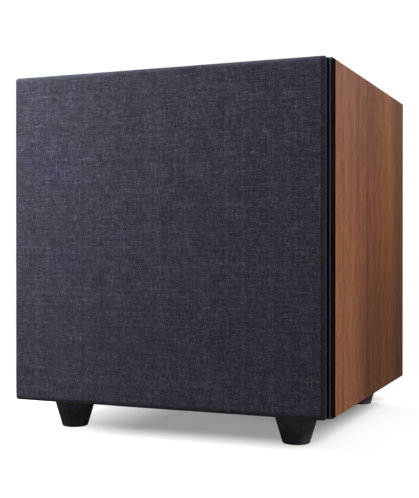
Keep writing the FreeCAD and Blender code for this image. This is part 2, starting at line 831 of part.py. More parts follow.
def amp_screws():
    head_r, head, key_depth = 3.6, 2, 1.2
    spots = amp_spots(dims.amp_z)
    body = new_body("amp_screws")
    pad(body, circles(facing(body, y_back + head), spots, head_r), head)
    soften(body, both(at_y(y_back + head), round_edge(head_r)), 1.3)
    pad(body, circles(facing(body, y_back), spots, 1.5), 13.5)
    pocket(body, hexagons(facing(body, y_back + head - key_depth), spots, 1.5), key_depth)


# ------------------------------------------------------------------ controls
def control_pots():
    body = new_body("control_pots", control_at)
    sketch = facing(body, pot_front)
    for x in pot_xs:
        centred(sketch, x, 0, 8, 8)
    pad(body, sketch, 8)
    soften(body, along_y, 1.5)
    pad(body, circles(facing(body, y_back + 4), pot_spots, bushing_r), 16)
    pocket(body, circles(facing(body, pot_back + 1.5), pot_spots, dims.shaft_bore / 2), 22.5)


def pot_nuts():
    body = new_body("pot_nuts", control_at)
    sketch = hexagons(facing(body, y_back + 2), pot_spots, 5.774)
    pad(body, circles(sketch, pot_spots, bushing_r + 0.05), 2)


def shaft(name, x):
    root, end, bevel = pot_back + 1.7, y_back + 9.6, 0.6
    turned(name + "_shaft", (x, 0, dims.control_z), [
        (root, 0), (root, shaft_r), (y_back + 9.0, shaft_r), (end, shaft_r - bevel), (end, 0)])


def knob(name, x):
    knob_r, skirt_r, bore_r = dims.knob_dia / 2, 7.0, shaft_r + 0.02
    tip = y_back + dims.knob_tip
    body = turned(name + "_knob", (x, 0, dims.control_z), [
        (y_back + 1.0, skirt_r), (y_back + 1.0, knob_r), (y_back + 2.0, knob_r),
        (tip - 1.0, knob_r - 0.5), (tip, knob_r - 1.5), (tip, 0), (y_back + 10.2, 0),
        (y_back + 10.2, bore_r), (y_back + 5.4, bore_r), (y_back + 5.4, skirt_r)])
    # grip flutes round the side, then a pointer line in the face
    flute = circle(facing(body, y_back + 2.5), knob_r + 0.3, 0, 1.0)
    around_y(body, pocket(body, flute, 12), 24)
    pocket(body, rect(facing(body, tip - 0.5), -0.7, 2.5, 0.7, knob_r - 1.6), 2)


def rotary_controls():
    for name, x in (("volume", dims.volume_x), ("crossover", dims.crossover_x)):
        shaft(name, x)
        knob(name, x)


def slide_switch_housings():
    cavity = 6.5
    body = new_body("slide_switch_housings", control_at)
    sketch = facing(body, plate_inner)
    for x in switch_xs:
        centred(sketch, x, 0, 8, 4)
    pad(body, sketch, plate_inner - pot_back)
    sketch = facing(body, plate_inner - cavity)
    for x in switch_xs:
        centred(sketch, x, 0, 6.3, 2.4)
    pocket(body, sketch, cavity)


def slider(label, x):
    """A wide foot inside the housing, a narrow tab through the plate, three grooves."""
    foot_y, tab = 3.5, 2.5      # depth behind the plate, reach beyond it
    body = new_body(label, (x, 0, dims.control_z))
    pad(body, centred(facing(body, plate_inner - foot_y), 0, 0, 3, 2.2), 2)
    pad(body, centred(facing(body, y_back + tab), 0, 0, 2, 1.5), dims.amp_plate + tab + foot_y)
    sketch = facing(body, y_back + 2.1)
    for groove_x in (-1.2, -0.25, 0.7):
        rect(sketch, groove_x, -1.6, groove_x + 0.5, 1.6)
    pocket(body, sketch, 1)


def sliders():
    slider("phase_slider", dims.phase_x - 2)
    slider("mode_slider", dims.mode_x)


def rca_housing():
    body = new_body("rca_housing", (dims.rca_x, 0, dims.rca_z))
    pad(body, centred(facing(body, plate_inner), 0, 0, 19, 8), 12)
    soften(body, along_y, 1.0)


def rca_rings(body, reach, outer_r, inner_r, length):
    """A pair of rings whose outer ends stand out from the plate by reach."""
    sketch = circles(facing(body, y_back + reach), rca_spots, outer_r)
    pad(body, circles(sketch, rca_spots, inner_r), length)


def rca_sockets():
    rca_at = (0, 0, dims.rca_z)
    body = new_body("rca_shells", rca_at)
    rca_rings(body, 10, rca_r, rca_r - 0.85, 10 + dims.amp_plate)
    rca_rings(body, 1.4, rca_r + 1.85, rca_r - 0.4, 1.4)
    body = new_body("rca_insulators", rca_at)
    rca_rings(body, 9.2, rca_r - 0.9, dims.rca_pin / 2, 9.2 + dims.amp_plate)


def status_light():
    lens_r = 1.45
    turned("status_light", (dims.light_x, 0, dims.light_z), [
        (pot_back, 0), (pot_back, lens_r), (y_back + 0.4, lens_r, -lens_r),
        (y_back + 0.4 + lens_r, 0)])


# --------------------------------------------------------------------- mains
def mains_inlet():
    body = new_body("mains_inlet", inlet_at)
    pad(body, centred(facing(body, y_back + 2.5), 0, 0, 15.5, 20), 2.5)
    soften(body, along_y, 2.0)
    pad(body, centred(facing(body, y_back), 0, 0, 13.5, 18), 26)
    # plug cavity above, fuse drawer cavity below
    pocket(body, loop(facing(body, y_back - 16), [
        (-12.1, 0.2), (12.1, 0.2), (12.1, 12.4), (7.9, 16.6), (-7.9, 16.6), (-12.1, 12.4)]), 20)
    pocket(body, rect(facing(body, y_back - 24), -10.1, -15.6, 10.1, -4.9), 28)


def inlet_pins():
    pins = [(-7, 6.4), (0, 10.4), (7, 6.4)]
    body = new_body("inlet_pins", inlet_at)
    sketch = facing(body, y_back - 1)
    for x, z in pins:
        centred(sketch, x, z, 1, 2)
    pad(body, sketch, 15)
    soften(body, at_y(y_back - 1), 0.6, "Chamfer")
    # thinner tags at the inner ends
    sketch = facing(body, y_back - 26)
    for x, z in pins:
        centred(sketch, x, z, 0.4, 2.4)
    pad(body, sketch, 8)


def fuse_drawer():
    body = new_body("fuse_drawer", inlet_at)
    pad(body, rect(facing(body, y_back + 2.6), -9.9, -15.4, 9.9, -5.1), 26.1)
    pad(body, rect(facing(body, y_back + 4.4), -12.2, -16.6, 12.2, -4.0), 1.8)
    soften(body, at_y(y_back + 4.4), 0.6)
    # slot for the fuse, then a notch in the front plate
    pocket(body, rect(facing(body, y_back - 21.5), -2.85, -13.2, 2.85, -5.0), 21)
    pocket(body, rect(facing(body, y_back + 3.6), -4, -6.4, 4, -5.2), 2)


def fuse():
    cap_r, glass_r = 2.6, 2.4
    # ends of the fuse, and of the glass between its caps
    start, glass_start, glass_end, end = [y_back - depth for depth in (21.2, 15.7, 6.5, 1.0)]
    turned("fuse", (dims.inlet_x, 0, dims.inlet_z - 10.3), [
        (start, 0), (start, cap_r), (glass_start, cap_r), (glass_start, glass_r),
        (glass_end, glass_r), (glass_end, cap_r), (end, cap_r), (end, 0)])


pivot_y = y_back - 2


def rocker_housing():
    body = new_body("rocker_housing", (dims.rocker_x, 0, dims.rocker_z))
    pad(body, centred(facing(body, y_back + 2), 0, 0, 10.5, 7.5), 2)
    soften(body, along_y, 1.2)
    pad(body, centred(facing(body, y_back), 0, 0, 9.3, 6.4), 16)
    pocket(body, centred(facing(body, y_back - 12), 0, 0, 8.3, 5.4), 16)
    pocket(body, circle(new_sketch(body, "XY", 6.3), 0, pivot_y, 1.3), 12.6)


def mains_rocker():
    """The rocker and its pivot pin, tilted about a vertical axis."""
    tilt = 10
    body = new_body("mains_rocker", (dims.rocker_x, pivot_y, dims.rocker_z))
    body.Placement = FreeCAD.Placement(body.Placement.Base,
                                       FreeCAD.Rotation(Vector(0, 0, 1), tilt))
    pad(body, loop(new_sketch(body, "XY", -5.2), [
        (-7.2, 0.8), (-4.5, -4.0), (4.5, -4.0), (7.2, 0.8), (7.2, 5.6), (0, 3.4),
        (-7.2, 5.6)]), 10.4)
    pad(body, circle(new_sketch(body, "XY", -6.2), 0, 0, 1.2), 12.4)


# --------------------------------------------------------------- electronics
BOARD_THICK = 1.6
CONTROL_BOARD = (-48, 146, 96, 184)     # x0, z0, x1, z1
AMP_BOARD = (40, 61, 104, 134)
board_y = y_back - 34.4


def inset_corners(board, inset):
    x0, z0, x1, z1 = board
    return [(x, z) for z in (z0 + inset, z1 - inset) for x in (x0 + inset, x1 - inset)]


def circuit_boards():
    body = new_body("control_board")
    sketch = rect(facing(body, pot_back), *CONTROL_BOARD)
    pad(body, circles(sketch, inset_corners(CONTROL_BOARD, 4), 1.6), BOARD_THICK)
    body = new_body("amp_board")
    pad(body, rect(facing(body, board_y), *AMP_BOARD), BOARD_THICK)


def board_standoffs():
    body = new_body("board_standoffs")
    pad(body, hexagons(facing(body, plate_inner), inset_corners(AMP_BOARD, 5), 3.0),
        plate_inner - board_y)


def filter_capacitors():
    can_r = 9
    body = new_body("filter_capacitors")
    pad(body, circles(facing(body, board_y - BOARD_THICK), [(60, 81), (84, 81)], can_r), 28)
    soften(body, round_edge(can_r), 1.0)


toroid_back = plate_inner - 1.0     # the face next to the plate


def transformer():
    inner_r, outer_r, bend = 10, 34, 8.0
    front = toroid_back - 32
    turned("transformer", toroid_at, [
        (front, inner_r + bend), (front, outer_r - bend, -bend), (front + bend, outer_r),
        (toroid_back - bend, outer_r, -bend), (toroid_back, outer_r - bend),
        (toroid_back, inner_r + bend, -bend), (toroid_back - bend, inner_r),
        (front + bend, inner_r, -bend)])


def transformer_bolt():
    """A bolt from outside the plate, with a nut and a wide washer at its inner end."""
    bolt_r, bore_r, nut_r, washer_r = 2.4, 2.5, 4.4, 24.0
    end, nut_end = toroid_back - 39, toroid_back - 36.4
    washer_front, washer_back = toroid_back - 33.8, toroid_back - 32.2
    body = turned("transformer_bolt", toroid_at, [
        (end, 0), (end, bolt_r), (y_back, bolt_r), (y_back, 4.75), (y_back + 1.2, 4.4),
        (y_back + 2.6, 2.8), (y_back + 2.6, 0)])
    pocket(body, hexagons(facing(body, y_back + 1.0), [(0, 0)], 1.7), 3)
    lathe(body, [
        (nut_end, bore_r), (nut_end, nut_r), (washer_front, nut_r), (washer_front, washer_r),
        (washer_back, washer_r), (washer_back, bore_r)])


def wire(points, radius=1.1):
    """A run of straight lengths with ball joints between them."""
    points = [Vector(*point) for point in points]
    run = None
    for i in range(len(points) - 1):
        step = points[i + 1] - points[i]
        piece = Part.makeCylinder(radius, step.Length, points[i], step)
        run = piece if run is None else run.fuse(piece)
        if i:
            run = run.fuse(Part.makeSphere(radius, points[i]))
    return run.Solids[0]


def speaker_wires():
    """Two insulated conductors from the amplifier board to the woofer's tags."""
    face, axis_z = y_front.value, z_mid.value
    board_face = board_y.value - BOARD_THICK
    runs = []
    for side in (-1, 1):
        runs.append(wire([
            (50 + 4 * side, board_face - 0.6, 106), (49 + 4 * side, board_face - 20, 101),
            (26 + 3 * side, 20, 84), (6 + 3 * side, -40, 88),
            (5.0 * side, face + 62, axis_z - 66), (5.0 * side, face + 54.05, axis_z - 63.5)]))
    wires = doc.addObject("Part::Feature", "speaker_wires")
    wires.Label = "speaker_wires"
    wires.Shape = Part.makeCompound(runs)
    made.append(wires)


# --------------------------------------------------------------------- build
for build in (
        front_baffle, panels, rear_panel, walnut_wrap, port_tube, wadding_pads,
        rubber_feet, foot_washers, foot_screws,
        woofer_basket, woofer_gasket, woofer_screws, trim_ring, surround, cone, dust_cap,
        voice_coil, spider, motor_top_plate, magnet, motor_yoke, woofer_terminals,
        tinsel_leads,
        grille_frame, grille_cloth, grille_pegs, grille_sockets,
        amp_plate, amp_gasket, amp_screws, control_pots, pot_nuts, rotary_controls,
        slide_switch_housings, sliders, rca_housing, rca_sockets, status_light,
        mains_inlet, inlet_pins, fuse_drawer, fuse, rocker_housing, mains_rocker,
        circuit_boards, board_standoffs, filter_capacitors, transformer, transformer_bolt,
        speaker_wires):
    build()

# -------------------------------------------------------------------- export
doc.recompute()
for obj in doc.Objects:
    for word in obj.State:
        if word in ("Invalid", "Error"):
            raise RuntimeError("%s is %s" % (obj.Label, word))
for part in made:
    if part.Shape.isNull() or not part.Shape.isValid():
        raise RuntimeError("%s has no valid shape" % part.Label)
    if not part.Shape.Solids:
        raise RuntimeError("%s has no solid" % part.Label)
os.makedirs("parts", exist_ok=True)
for part in made:
    part.Shape.exportStep("parts/%s.step" % part.Label)
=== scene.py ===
# A powered woofer: a walnut-wrapped box with a cloth grille in front and an amplifier behind.
# Metres, +Z up from the floor at z = 0.  The grille faces -Y, the amplifier plate faces +Y,
# and x = 0 is the middle of the box.  The grille and the cone assembly move.
import math
import bmesh
import bpy
import numpy as np
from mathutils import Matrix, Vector


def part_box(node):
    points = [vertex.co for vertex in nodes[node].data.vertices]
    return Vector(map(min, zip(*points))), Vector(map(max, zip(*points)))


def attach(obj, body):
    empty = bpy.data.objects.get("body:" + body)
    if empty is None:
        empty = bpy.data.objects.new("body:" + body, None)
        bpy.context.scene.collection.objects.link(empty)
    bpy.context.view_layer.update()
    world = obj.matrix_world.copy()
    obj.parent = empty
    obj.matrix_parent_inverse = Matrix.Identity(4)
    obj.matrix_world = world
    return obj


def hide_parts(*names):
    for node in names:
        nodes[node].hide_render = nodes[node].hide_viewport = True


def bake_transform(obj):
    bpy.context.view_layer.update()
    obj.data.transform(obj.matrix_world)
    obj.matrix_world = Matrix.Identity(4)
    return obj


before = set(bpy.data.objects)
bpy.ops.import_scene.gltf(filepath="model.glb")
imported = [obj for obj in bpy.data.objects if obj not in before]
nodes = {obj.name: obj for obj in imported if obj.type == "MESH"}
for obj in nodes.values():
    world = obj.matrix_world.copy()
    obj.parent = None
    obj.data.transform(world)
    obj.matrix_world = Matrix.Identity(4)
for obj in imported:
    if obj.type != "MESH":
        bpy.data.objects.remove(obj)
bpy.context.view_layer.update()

MM = 0.001
AXIS_Z = 0.177                          # height of the woofer's axis
# places on the amplifier plate
CONTROL_Z = 0.160                       # the row of knobs and slide switches
VOLUME_X, CROSSOVER_X = 0.078, 0.034
PHASE_X, MODE_X = -0.006, -0.036
RCA_X, RCA_Z = 0.077, 0.092
ROCKER_X, ROCKER_Z = -0.072, 0.150


# =============================================================== node helpers
def operator(kind, swapped=False):
    """A Value method that makes a math node of this kind."""
    def apply(self, other=0.0):
        pair = (other, self) if swapped else (self, other)
        return self.mat.math(kind, *pair)
    return apply


class Value:
    """A node's output; arithmetic on it adds math nodes to its material."""

    def __init__(self, mat, socket):
        self.mat = mat
        self.socket = socket

    __add__ = operator("ADD")
    __radd__ = operator("ADD", swapped=True)
    __sub__ = operator("SUBTRACT")
    __rsub__ = operator("SUBTRACT", swapped=True)
    __mul__ = operator("MULTIPLY")
    __truediv__ = operator("DIVIDE")
    __mod__ = operator("MODULO")
    __pow__ = operator("POWER")
    __lt__ = operator("LESS_THAN")
    __gt__ = operator("GREATER_THAN")
    __abs__ = operator("ABSOLUTE")
    least = operator("MINIMUM")
    most = operator("MAXIMUM")
    floor = operator("FLOOR")
    fract = operator("FRACT")
    sine = operator("SINE")
    sqrt = operator("SQRT")

    def linear(self, low, high, start=0.0, end=1.0, curve="LINEAR"):
        """Runs from start to end while this value runs from low to high."""
        ins = {"Value": self, "From Min": low, "From Max": high, "To Min": start, "To Max": end}
        return self.mat.value("ShaderNodeMapRange", ins, "Result", interpolation_type=curve)

    def smooth(self, low, high, start=0.0, end=1.0):
        """As linear, but easing in and out."""
        return self.linear(low, high, start, end, "SMOOTHSTEP")

    def wave(self, length):
        return (self * (2 * math.pi / length)).sine()

    def xyz(self):
        node = self.mat.node("ShaderNodeSeparateXYZ", {"Vector": self})
        return [Value(self.mat, out) for out in node.outputs]


class Mat:
    """A procedural material: small wrappers round a node tree."""

    def __init__(self, name, **principled):
        self.data = bpy.data.materials.new(name)
        self.data.use_nodes = True
        self.tree = self.data.node_tree
        self.tree.nodes.clear()
        self.out = self.tree.nodes.new("ShaderNodeOutputMaterial")
        self.bsdf = self.tree.nodes.new("ShaderNodeBsdfPrincipled")
        self.tree.links.new(self.bsdf.outputs["BSDF"], self.out.inputs["Surface"])
        # the row frame's coordinates in metres; a moving piece carries them along
        self.place = self.value("ShaderNodeTexCoord", out="Object")
        self.finish(**principled)

    def finish(self, **principled):
        """Sets inputs of the principled shader and returns the material."""
        for name, value in principled.items():
            self.put(self.bsdf.inputs[name.replace("_", " ")], value)
        return self.data

    def put(self, socket, value):
        """Links a Value to the socket, or sets a plain number or colour."""
        if isinstance(value, Value):
            self.tree.links.new(value.socket, socket)
            return
        if isinstance(value, tuple) and len(value) == 3 and len(socket.default_value) == 4:
            value = (*value, 1.0)
        socket.default_value = value

    def node(self, kind, ins=None, **props):
        node = self.tree.nodes.new(kind)
        for name, value in props.items():
            setattr(node, name, value)
        for key, value in (ins or {}).items():
            self.put(node.inputs[key], value)
        return node

    def value(self, kind, ins=None, out=0, **props):
        return Value(self, self.node(kind, ins, **props).outputs[out])

    def math(self, kind, first, second):
        return self.value("ShaderNodeMath", {0: first, 1: second, 2: 0.0}, operation=kind)

    def vec(self, x, y, z):
        return self.value("ShaderNodeCombineXYZ", {"X": x, "Y": y, "Z": z})

    def scaled(self, *scale):
        return self.value("ShaderNodeMapping", {"Vector": self.place, "Scale": scale})

    def noise(self, scale=1.0, detail=2.0, rough=0.5, distortion=0.0, at=None):
        return self.value("ShaderNodeTexNoise", {
            "Vector": at or self.place, "Scale": scale, "Detail": detail, "Roughness": rough,
            "Distortion": distortion})

    def white(self, seed):
        return self.value("ShaderNodeTexWhiteNoise", {"W": seed}, noise_dimensions="1D")

    def voronoi(self, scale=1.0, feature="F1", at=None, **ins):
        ins = {"Vector": at or self.place, "Scale": scale, **ins}
        return self.value("ShaderNodeTexVoronoi", ins, "Distance", feature=feature)

    def ramp(self, share, *stops):
        """Colours by share, from (position, colour) stops."""
        node = self.node("ShaderNodeValToRGB", {"Fac": share})
        elements = node.color_ramp.elements
        while len(elements) < len(stops):
            elements.new(0.5)
        for element, (position, colour) in zip(elements, stops):
            element.position = position
            element.color = (*colour, 1.0)
        return Value(self, node.outputs["Color"])

    def mix(self, share, base, other, mode="MIX"):
        return self.value("ShaderNodeMix", {0: share, 6: base, 7: other}, 2,
                          data_type="RGBA", blend_type=mode)

    def times(self, base, tint, share=1.0):
        return self.mix(share, base, tint, "MULTIPLY")

    def grey(self, value):
        return self.value("ShaderNodeCombineColor", {0: value, 1: value, 2: value})

    def bump(self, height, strength, distance, normal=None):
        ins = {"Height": height, "Strength": strength, "Distance": distance}
        if normal is not None:
            ins["Normal"] = normal
        return self.value("ShaderNodeBump", ins)

    def normal(self, kind="Normal"):
        return self.value("ShaderNodeNewGeometry", out=kind)

    def soft_edge(self, radius):
        return self.value("ShaderNodeBevel", {"Radius": radius}, samples=6)

    def edge_wear(self, radius, low=0.02, high=0.25):
        """0 on flats, 1 on edges: how far a bevelled normal leans from the true one."""
        ins = {0: self.soft_edge(radius), 1: self.normal()}
        agree = self.value("ShaderNodeVectorMath", ins, "Value", operation="DOT_PRODUCT")
        return (1.0 - agree).smooth(low, high)


def shaded(tone, gain=1.0, plus=0.0):
    return tuple(c * gain + plus for c in tone)


# =============================================================== materials
def grille_fabric():
    """A plain weave, laid out by a UV map in millimetres along the threads."""
    mat = Mat("woven_grille_fabric", Roughness=0.95, Sheen_Weight=0.12, Sheen_Roughness=0.5,
              Specular_IOR_Level=0.15)
    across, up, _ = mat.value("ShaderNodeUVMap", uv_map="weave").xyz()

    def noise(rate_u, rate_v, shift, rough=0.5, detail=3.0, u=across, v=up):
        return mat.noise(detail=detail, rough=rough, at=mat.vec(u * rate_u, v * rate_v, shift))

    # threads wander a little, so the rows are not ruled lines
    pitch, wander = 1.04, 3.2
    thread_u = across / pitch + (noise(0.05, 0.09, 1.7) - 0.5) * wander
    thread_v = up / pitch + (noise(0.09, 0.05, 9.1) - 0.5) * wander
    index_u, index_v = thread_u.floor(), thread_v.floor()
    over = abs(index_u + index_v) % 2.0            # 1 where the warp lies on top

    # slubs: a thread swells and fades along its own length
    slub_u = noise(7.31, 0.13, 3.0, rough=0.6, u=index_u)
    slub_v = noise(0.11, 7.31, 5.0, rough=0.6, v=index_v)
    round_u = (thread_u.fract() * math.pi).sine()
    round_v = (thread_v.fract() * math.pi).sine()

    def thread_height(own, crossing, slub):
        return own ** 0.7 * (0.45 + crossing * 0.55) * (0.7 + slub * 0.6)

    height = (thread_height(round_u, round_v, slub_u) * over
              + thread_height(round_v, round_u, slub_v) * (1.0 - over))
    fibre = noise(3.2, 3.2, 0.0, rough=0.6)

    def thread_colour(index, seed, slub, *colours):
        tone = (mat.white(index + seed) * 0.10 + slub * 0.90).linear(0.31, 0.71)
        return mat.ramp(tone, *zip((0.0, 0.45, 0.8, 1.0), colours))

    warp = thread_colour(index_u, 0.37, slub_u, (0.0100, 0.0098, 0.0150),
                         (0.0270, 0.0262, 0.0385), (0.058, 0.057, 0.077), (0.094, 0.094, 0.120))
    weft = thread_colour(index_v, 613.1, slub_v, (0.0105, 0.0105, 0.0146),
                         (0.0285, 0.0280, 0.0380), (0.060, 0.060, 0.077), (0.097, 0.098, 0.118))
    col = mat.mix(over, weft, warp)
    patch = noise(0.022, 0.022, 20.0, rough=0.55)
    col = mat.times(col, mat.ramp(patch, (0.34, (1.00, 0.93, 1.10)), (0.5, (1.0, 1.0, 1.0)),
                                  (0.66, (0.96, 1.03, 0.95))))
    # painted light: the cloth runs cooler and lighter towards -X, where the key lamps stand,
    # and plum and darker towards +X
    painted_light_lean = (mat.place.xyz()[0] + (patch - 0.5) * 0.16).smooth(-0.12, -0.01)
    col = mat.times(col, mat.mix(painted_light_lean, (1.06, 1.13, 1.19), (0.93, 0.87, 0.96)))
    # painted shade between the threads, and darker in soft clouds
    cloud = noise(0.06, 0.06, 31.0, rough=0.6, detail=4.0).linear(0.3, 0.7, 0.84, 1.16)
    col = mat.times(col, mat.grey(height.smooth(0.0, 0.55, 0.38, 1.0) * cloud))
    col = mat.mix(fibre.smooth(0.60, 0.78) * 0.18, col, (0.13, 0.135, 0.155))
    # painted shade where it turns over the board's edge to the sides, and painted light
    # underneath
    normal_x, _, normal_z = mat.normal().xyz()
    aside = abs(normal_x)
    painted_facing_light = 1.0 - (aside.smooth(0.02, 0.25) * 0.42 + aside.smooth(0.55, 1.0) * 0.32)
    painted_facing_light = painted_facing_light * (1.0 + (normal_z * -1.0).smooth(0.05, 0.9) * 1.9)
    return mat.finish(Base_Color=mat.times(col, mat.grey(painted_facing_light)), Sheen_Tint=(0.75, 0.8, 1.0),
                      Normal=mat.bump(height + fibre * 0.25, strength=0.6, distance=0.00035))


def walnut():
    mat = Mat("walnut_sheet", Specular_IOR_Level=0.05)
    x, y, z = mat.place.xyz()
    normal_x = mat.normal("True Normal").xyz()[0]
    side = abs(normal_x) > 0.5
    # the sheet runs up one side, over the top and down the other, and the grain with it
    along = z * side + (x + 0.55) * (1.0 - side)
    panel = (normal_x > 0.5) * 3.7 + (normal_x < -0.5) * 9.3
    wander = mat.noise(detail=3.0, at=mat.vec(y * 5.0, along * 2.4, panel)) - 0.5
    ripple = mat.noise(at=mat.vec(y * 22.0, along * 9.0, panel + 5.0)) - 0.5
    grain = y + (wander * 0.024 + ripple * 0.0030)

    def figure(across, length, shift, detail=2.0, rough=0.5, distortion=0.0):
        """Noise at these rates across and along the grain."""
        at = mat.vec(grain * across, along * length, panel + shift)
        return mat.noise(1.0, detail, rough, distortion, at)

    bands = figure(16.0, 0.55, 0.4, rough=0.55)
    rings = figure(92.0, 4.6, 2.0, detail=4.0, rough=0.66, distortion=0.15)
    fine = figure(340.0, 34.0, 4.0, detail=4.0, rough=0.68)
    fibre = figure(1500.0, 60.0, 6.0, rough=0.6)
    fleck = figure(900.0, 120.0, 7.0, rough=0.55)
    pore = figure(2300.0, 70.0, 8.0, detail=1.0, rough=0.4).smooth(0.60, 0.68)
    streak = figure(42.0, 0.9, 11.0).smooth(0.44, 0.64)
    # two leaves of figure meet at a straight join: the front one pale, the rear one plum,
    # running to amber and a dark edge
    pale, plum = (0.220, 0.086, 0.043), (0.146, 0.051, 0.025)
    amber, dark = (0.19, 0.068, 0.022), (0.11, 0.045, 0.022)
    drift = y + wander * 0.012
    stripe = drift.smooth(-0.073, -0.065) * drift.smooth(-0.046, -0.054)
    fore = mat.mix(streak * 0.45, pale, plum)
    fore = mat.mix(stripe * 0.55, fore, plum)
    aft = mat.mix(drift.smooth(0.000, 0.050), plum, amber)
    aft = mat.mix(streak * 0.20, aft, plum)
    aft = mat.mix(drift.smooth(0.076, 0.118), aft, dark)
    leaves = mat.mix(y.smooth(-0.0266, -0.0258), fore, aft)
    # painted shade: the rear leaf darkens towards the foot of the panel
    low = z.smooth(0.22, 0.05) * y.smooth(-0.070, -0.020)
    leaves = mat.mix(low * 0.55, leaves, (0.062, 0.029, 0.021))
    tone = (bands * 0.16 + rings * 0.24) + (fine * 0.34 + fleck * 0.26)
    shade = mat.ramp(tone.linear(0.415, 0.585), (0.0, (0.64, 0.58, 0.56)),
                     (0.3, (0.87, 0.84, 0.82)), (0.55, (1.02, 1.02, 1.0)),
                     (0.8, (1.17, 1.18, 1.12)), (1.0, (1.36, 1.40, 1.30)))
    # painted shade high up and painted light low down, mostly towards the front
    front = 1.0 - y.smooth(-0.06, 0.07)
    shade = mat.times(shade, (0.60, 0.62, 0.66), z.linear(0.16, 0.34) * (0.22 + front * 0.50))
    shade = mat.times(shade, (1.14, 1.17, 1.22), z.smooth(0.18, 0.05) * (front * 0.60))
    col = mat.times(leaves, shade)
    col = mat.times(col, mat.grey(fibre.linear(0.3, 0.7, 0.84, 1.16)))
    col = mat.mix(pore * 0.38, col, (0.060, 0.024, 0.015))
    # the folds show a hairline of lighter sheet: partly rubbed sheet, partly a painted
    # highlight
    highlit_rubbed_fold = mat.edge_wear(0.0009, low=0.01, high=0.2)
    relief = (1.0 - pore) * 0.7 + fine * 0.3
    return mat.finish(
        Base_Color=mat.mix(highlit_rubbed_fold * 0.30, col, (0.36, 0.21, 0.14)),
        Roughness=(fine * 0.6 + fibre * 0.4).linear(0.3, 0.7, 0.66, 0.54),
        Normal=mat.bump(relief, strength=0.22, distance=0.00025, normal=mat.soft_edge(0.0006)))


def lacquer(name, tone, rough, bevel, wear=0.0, peel=620.0, shine=0.0, face=None):
    """Painted board; face is the colour of its broad front and back, if different: a lighter
    tone there, as painted light.
    """
    mat = Mat(name, Specular_IOR_Level=shine)
    dust = mat.noise(4200.0, detail=2.0, rough=0.6)
    cloud = mat.noise(14.0, detail=3.0, rough=0.55)
    lift = min(1.0, sum(tone) / 0.018)              # the blackest boards stay clean
    col = mat.mix(cloud.smooth(0.3, 0.7), tone, shaded(tone, gain=1.45, plus=0.002 * lift))
    col = mat.mix(dust.smooth(0.68, 0.80) * 0.25, col, shaded(tone, plus=0.05 * lift))
    if face:
        # painted light: the broad front and back take the lighter face tone
        facing = abs(mat.normal().xyz()[1])
        lit_face_tone = mat.mix(cloud.smooth(0.3, 0.7), face, shaded(face, gain=0.75))
        col = mat.mix(facing.smooth(0.9, 0.97), col, lit_face_tone)
        # a painted highlight: a light line round the front, just inside the rounded edge
        x, _, z = mat.place.xyz()
        x, z = abs(x), abs(z + -AXIS_Z)
        painted_highlight_line = (x.smooth(0.1477, 0.1480) * x.smooth(0.1493, 0.1489)).most(
            z.smooth(0.1467, 0.1470) * z.smooth(0.1483, 0.1479))
        col = mat.mix(painted_highlight_line * facing.smooth(0.35, 0.6), col, (0.085, 0.097, 0.130))
    if wear:
        col = mat.mix(mat.edge_wear(bevel * 1.4) * wear, col, shaded(tone, plus=0.06))
    return mat.finish(
        Base_Color=col, Roughness=cloud.smooth(0.3, 0.7, rough - 0.05, rough + 0.07),
        Normal=mat.bump(mat.noise(peel, detail=3.0), strength=0.18, distance=0.0002,
                        normal=mat.soft_edge(bevel)))


def fibreboard():
    mat = Mat("raw_fibreboard", Roughness=0.85)
    fibres = mat.noise(900.0, detail=5.0, rough=0.7)
    flecks = mat.voronoi(1500.0).smooth(0.0, 0.12, 1.0, 0.0)
    cloud = mat.noise(30.0, detail=3.0)
    col = mat.ramp(fibres, (0.25, (0.30, 0.20, 0.115)), (0.5, (0.42, 0.29, 0.175)),
                   (0.8, (0.54, 0.40, 0.26)))
    col = mat.mix(cloud * 0.3, col, (0.36, 0.25, 0.15))
    return mat.finish(Base_Color=mat.mix(flecks * 0.35, col, (0.20, 0.12, 0.07)),
                      Normal=mat.bump(fibres, strength=0.4, distance=0.0003))


def rubber(name, tone, rough, rings=False):
    mat = Mat(name, Specular_IOR_Level=0.35)
    height = mat.noise(1600.0, detail=4.0, rough=0.65) * 0.5
    mottle = mat.noise(120.0, detail=4.0, rough=0.6)
    bloom = mat.noise(35.0, detail=3.0, rough=0.6)
    col = mat.mix(mottle.smooth(0.35, 0.7), tone, shaded(tone, gain=1.7, plus=0.003))
    col = mat.mix(bloom.smooth(0.52, 0.75) * 0.25, col, (0.07, 0.068, 0.066))
    if rings:                       # tool marks left by the turned mould
        height = height + mat.place.xyz()[2].wave(0.0011) * 0.10
    return mat.finish(
        Base_Color=col, Roughness=mottle.smooth(0.3, 0.7, rough - 0.08, rough + 0.08),
        Normal=mat.bump(height, strength=0.35, distance=0.0002, normal=mat.soft_edge(0.0004)))


def plastic(name, tone, rough=0.38, texture=2600.0, depth=0.25, edge=0.0003):
    """texture is the rate of the spark-eroded grain, depth the strength of its relief."""
    mat = Mat(name, Specular_IOR_Level=0.5)
    cloud = mat.noise(60.0, detail=3.0)
    col = mat.mix(cloud.smooth(0.3, 0.7), tone, shaded(tone, gain=1.18, plus=0.0015))
    col = mat.mix(mat.edge_wear(edge * 1.5) * 0.2, col, shaded(tone, plus=0.05))
    sheen = mat.noise(220.0, detail=3.0)
    return mat.finish(
        Base_Color=col, Roughness=sheen.smooth(0.3, 0.7, rough - 0.05, rough + 0.06),
        Normal=mat.bump(mat.voronoi(texture), depth, distance=0.00008,
                        normal=mat.soft_edge(edge)))


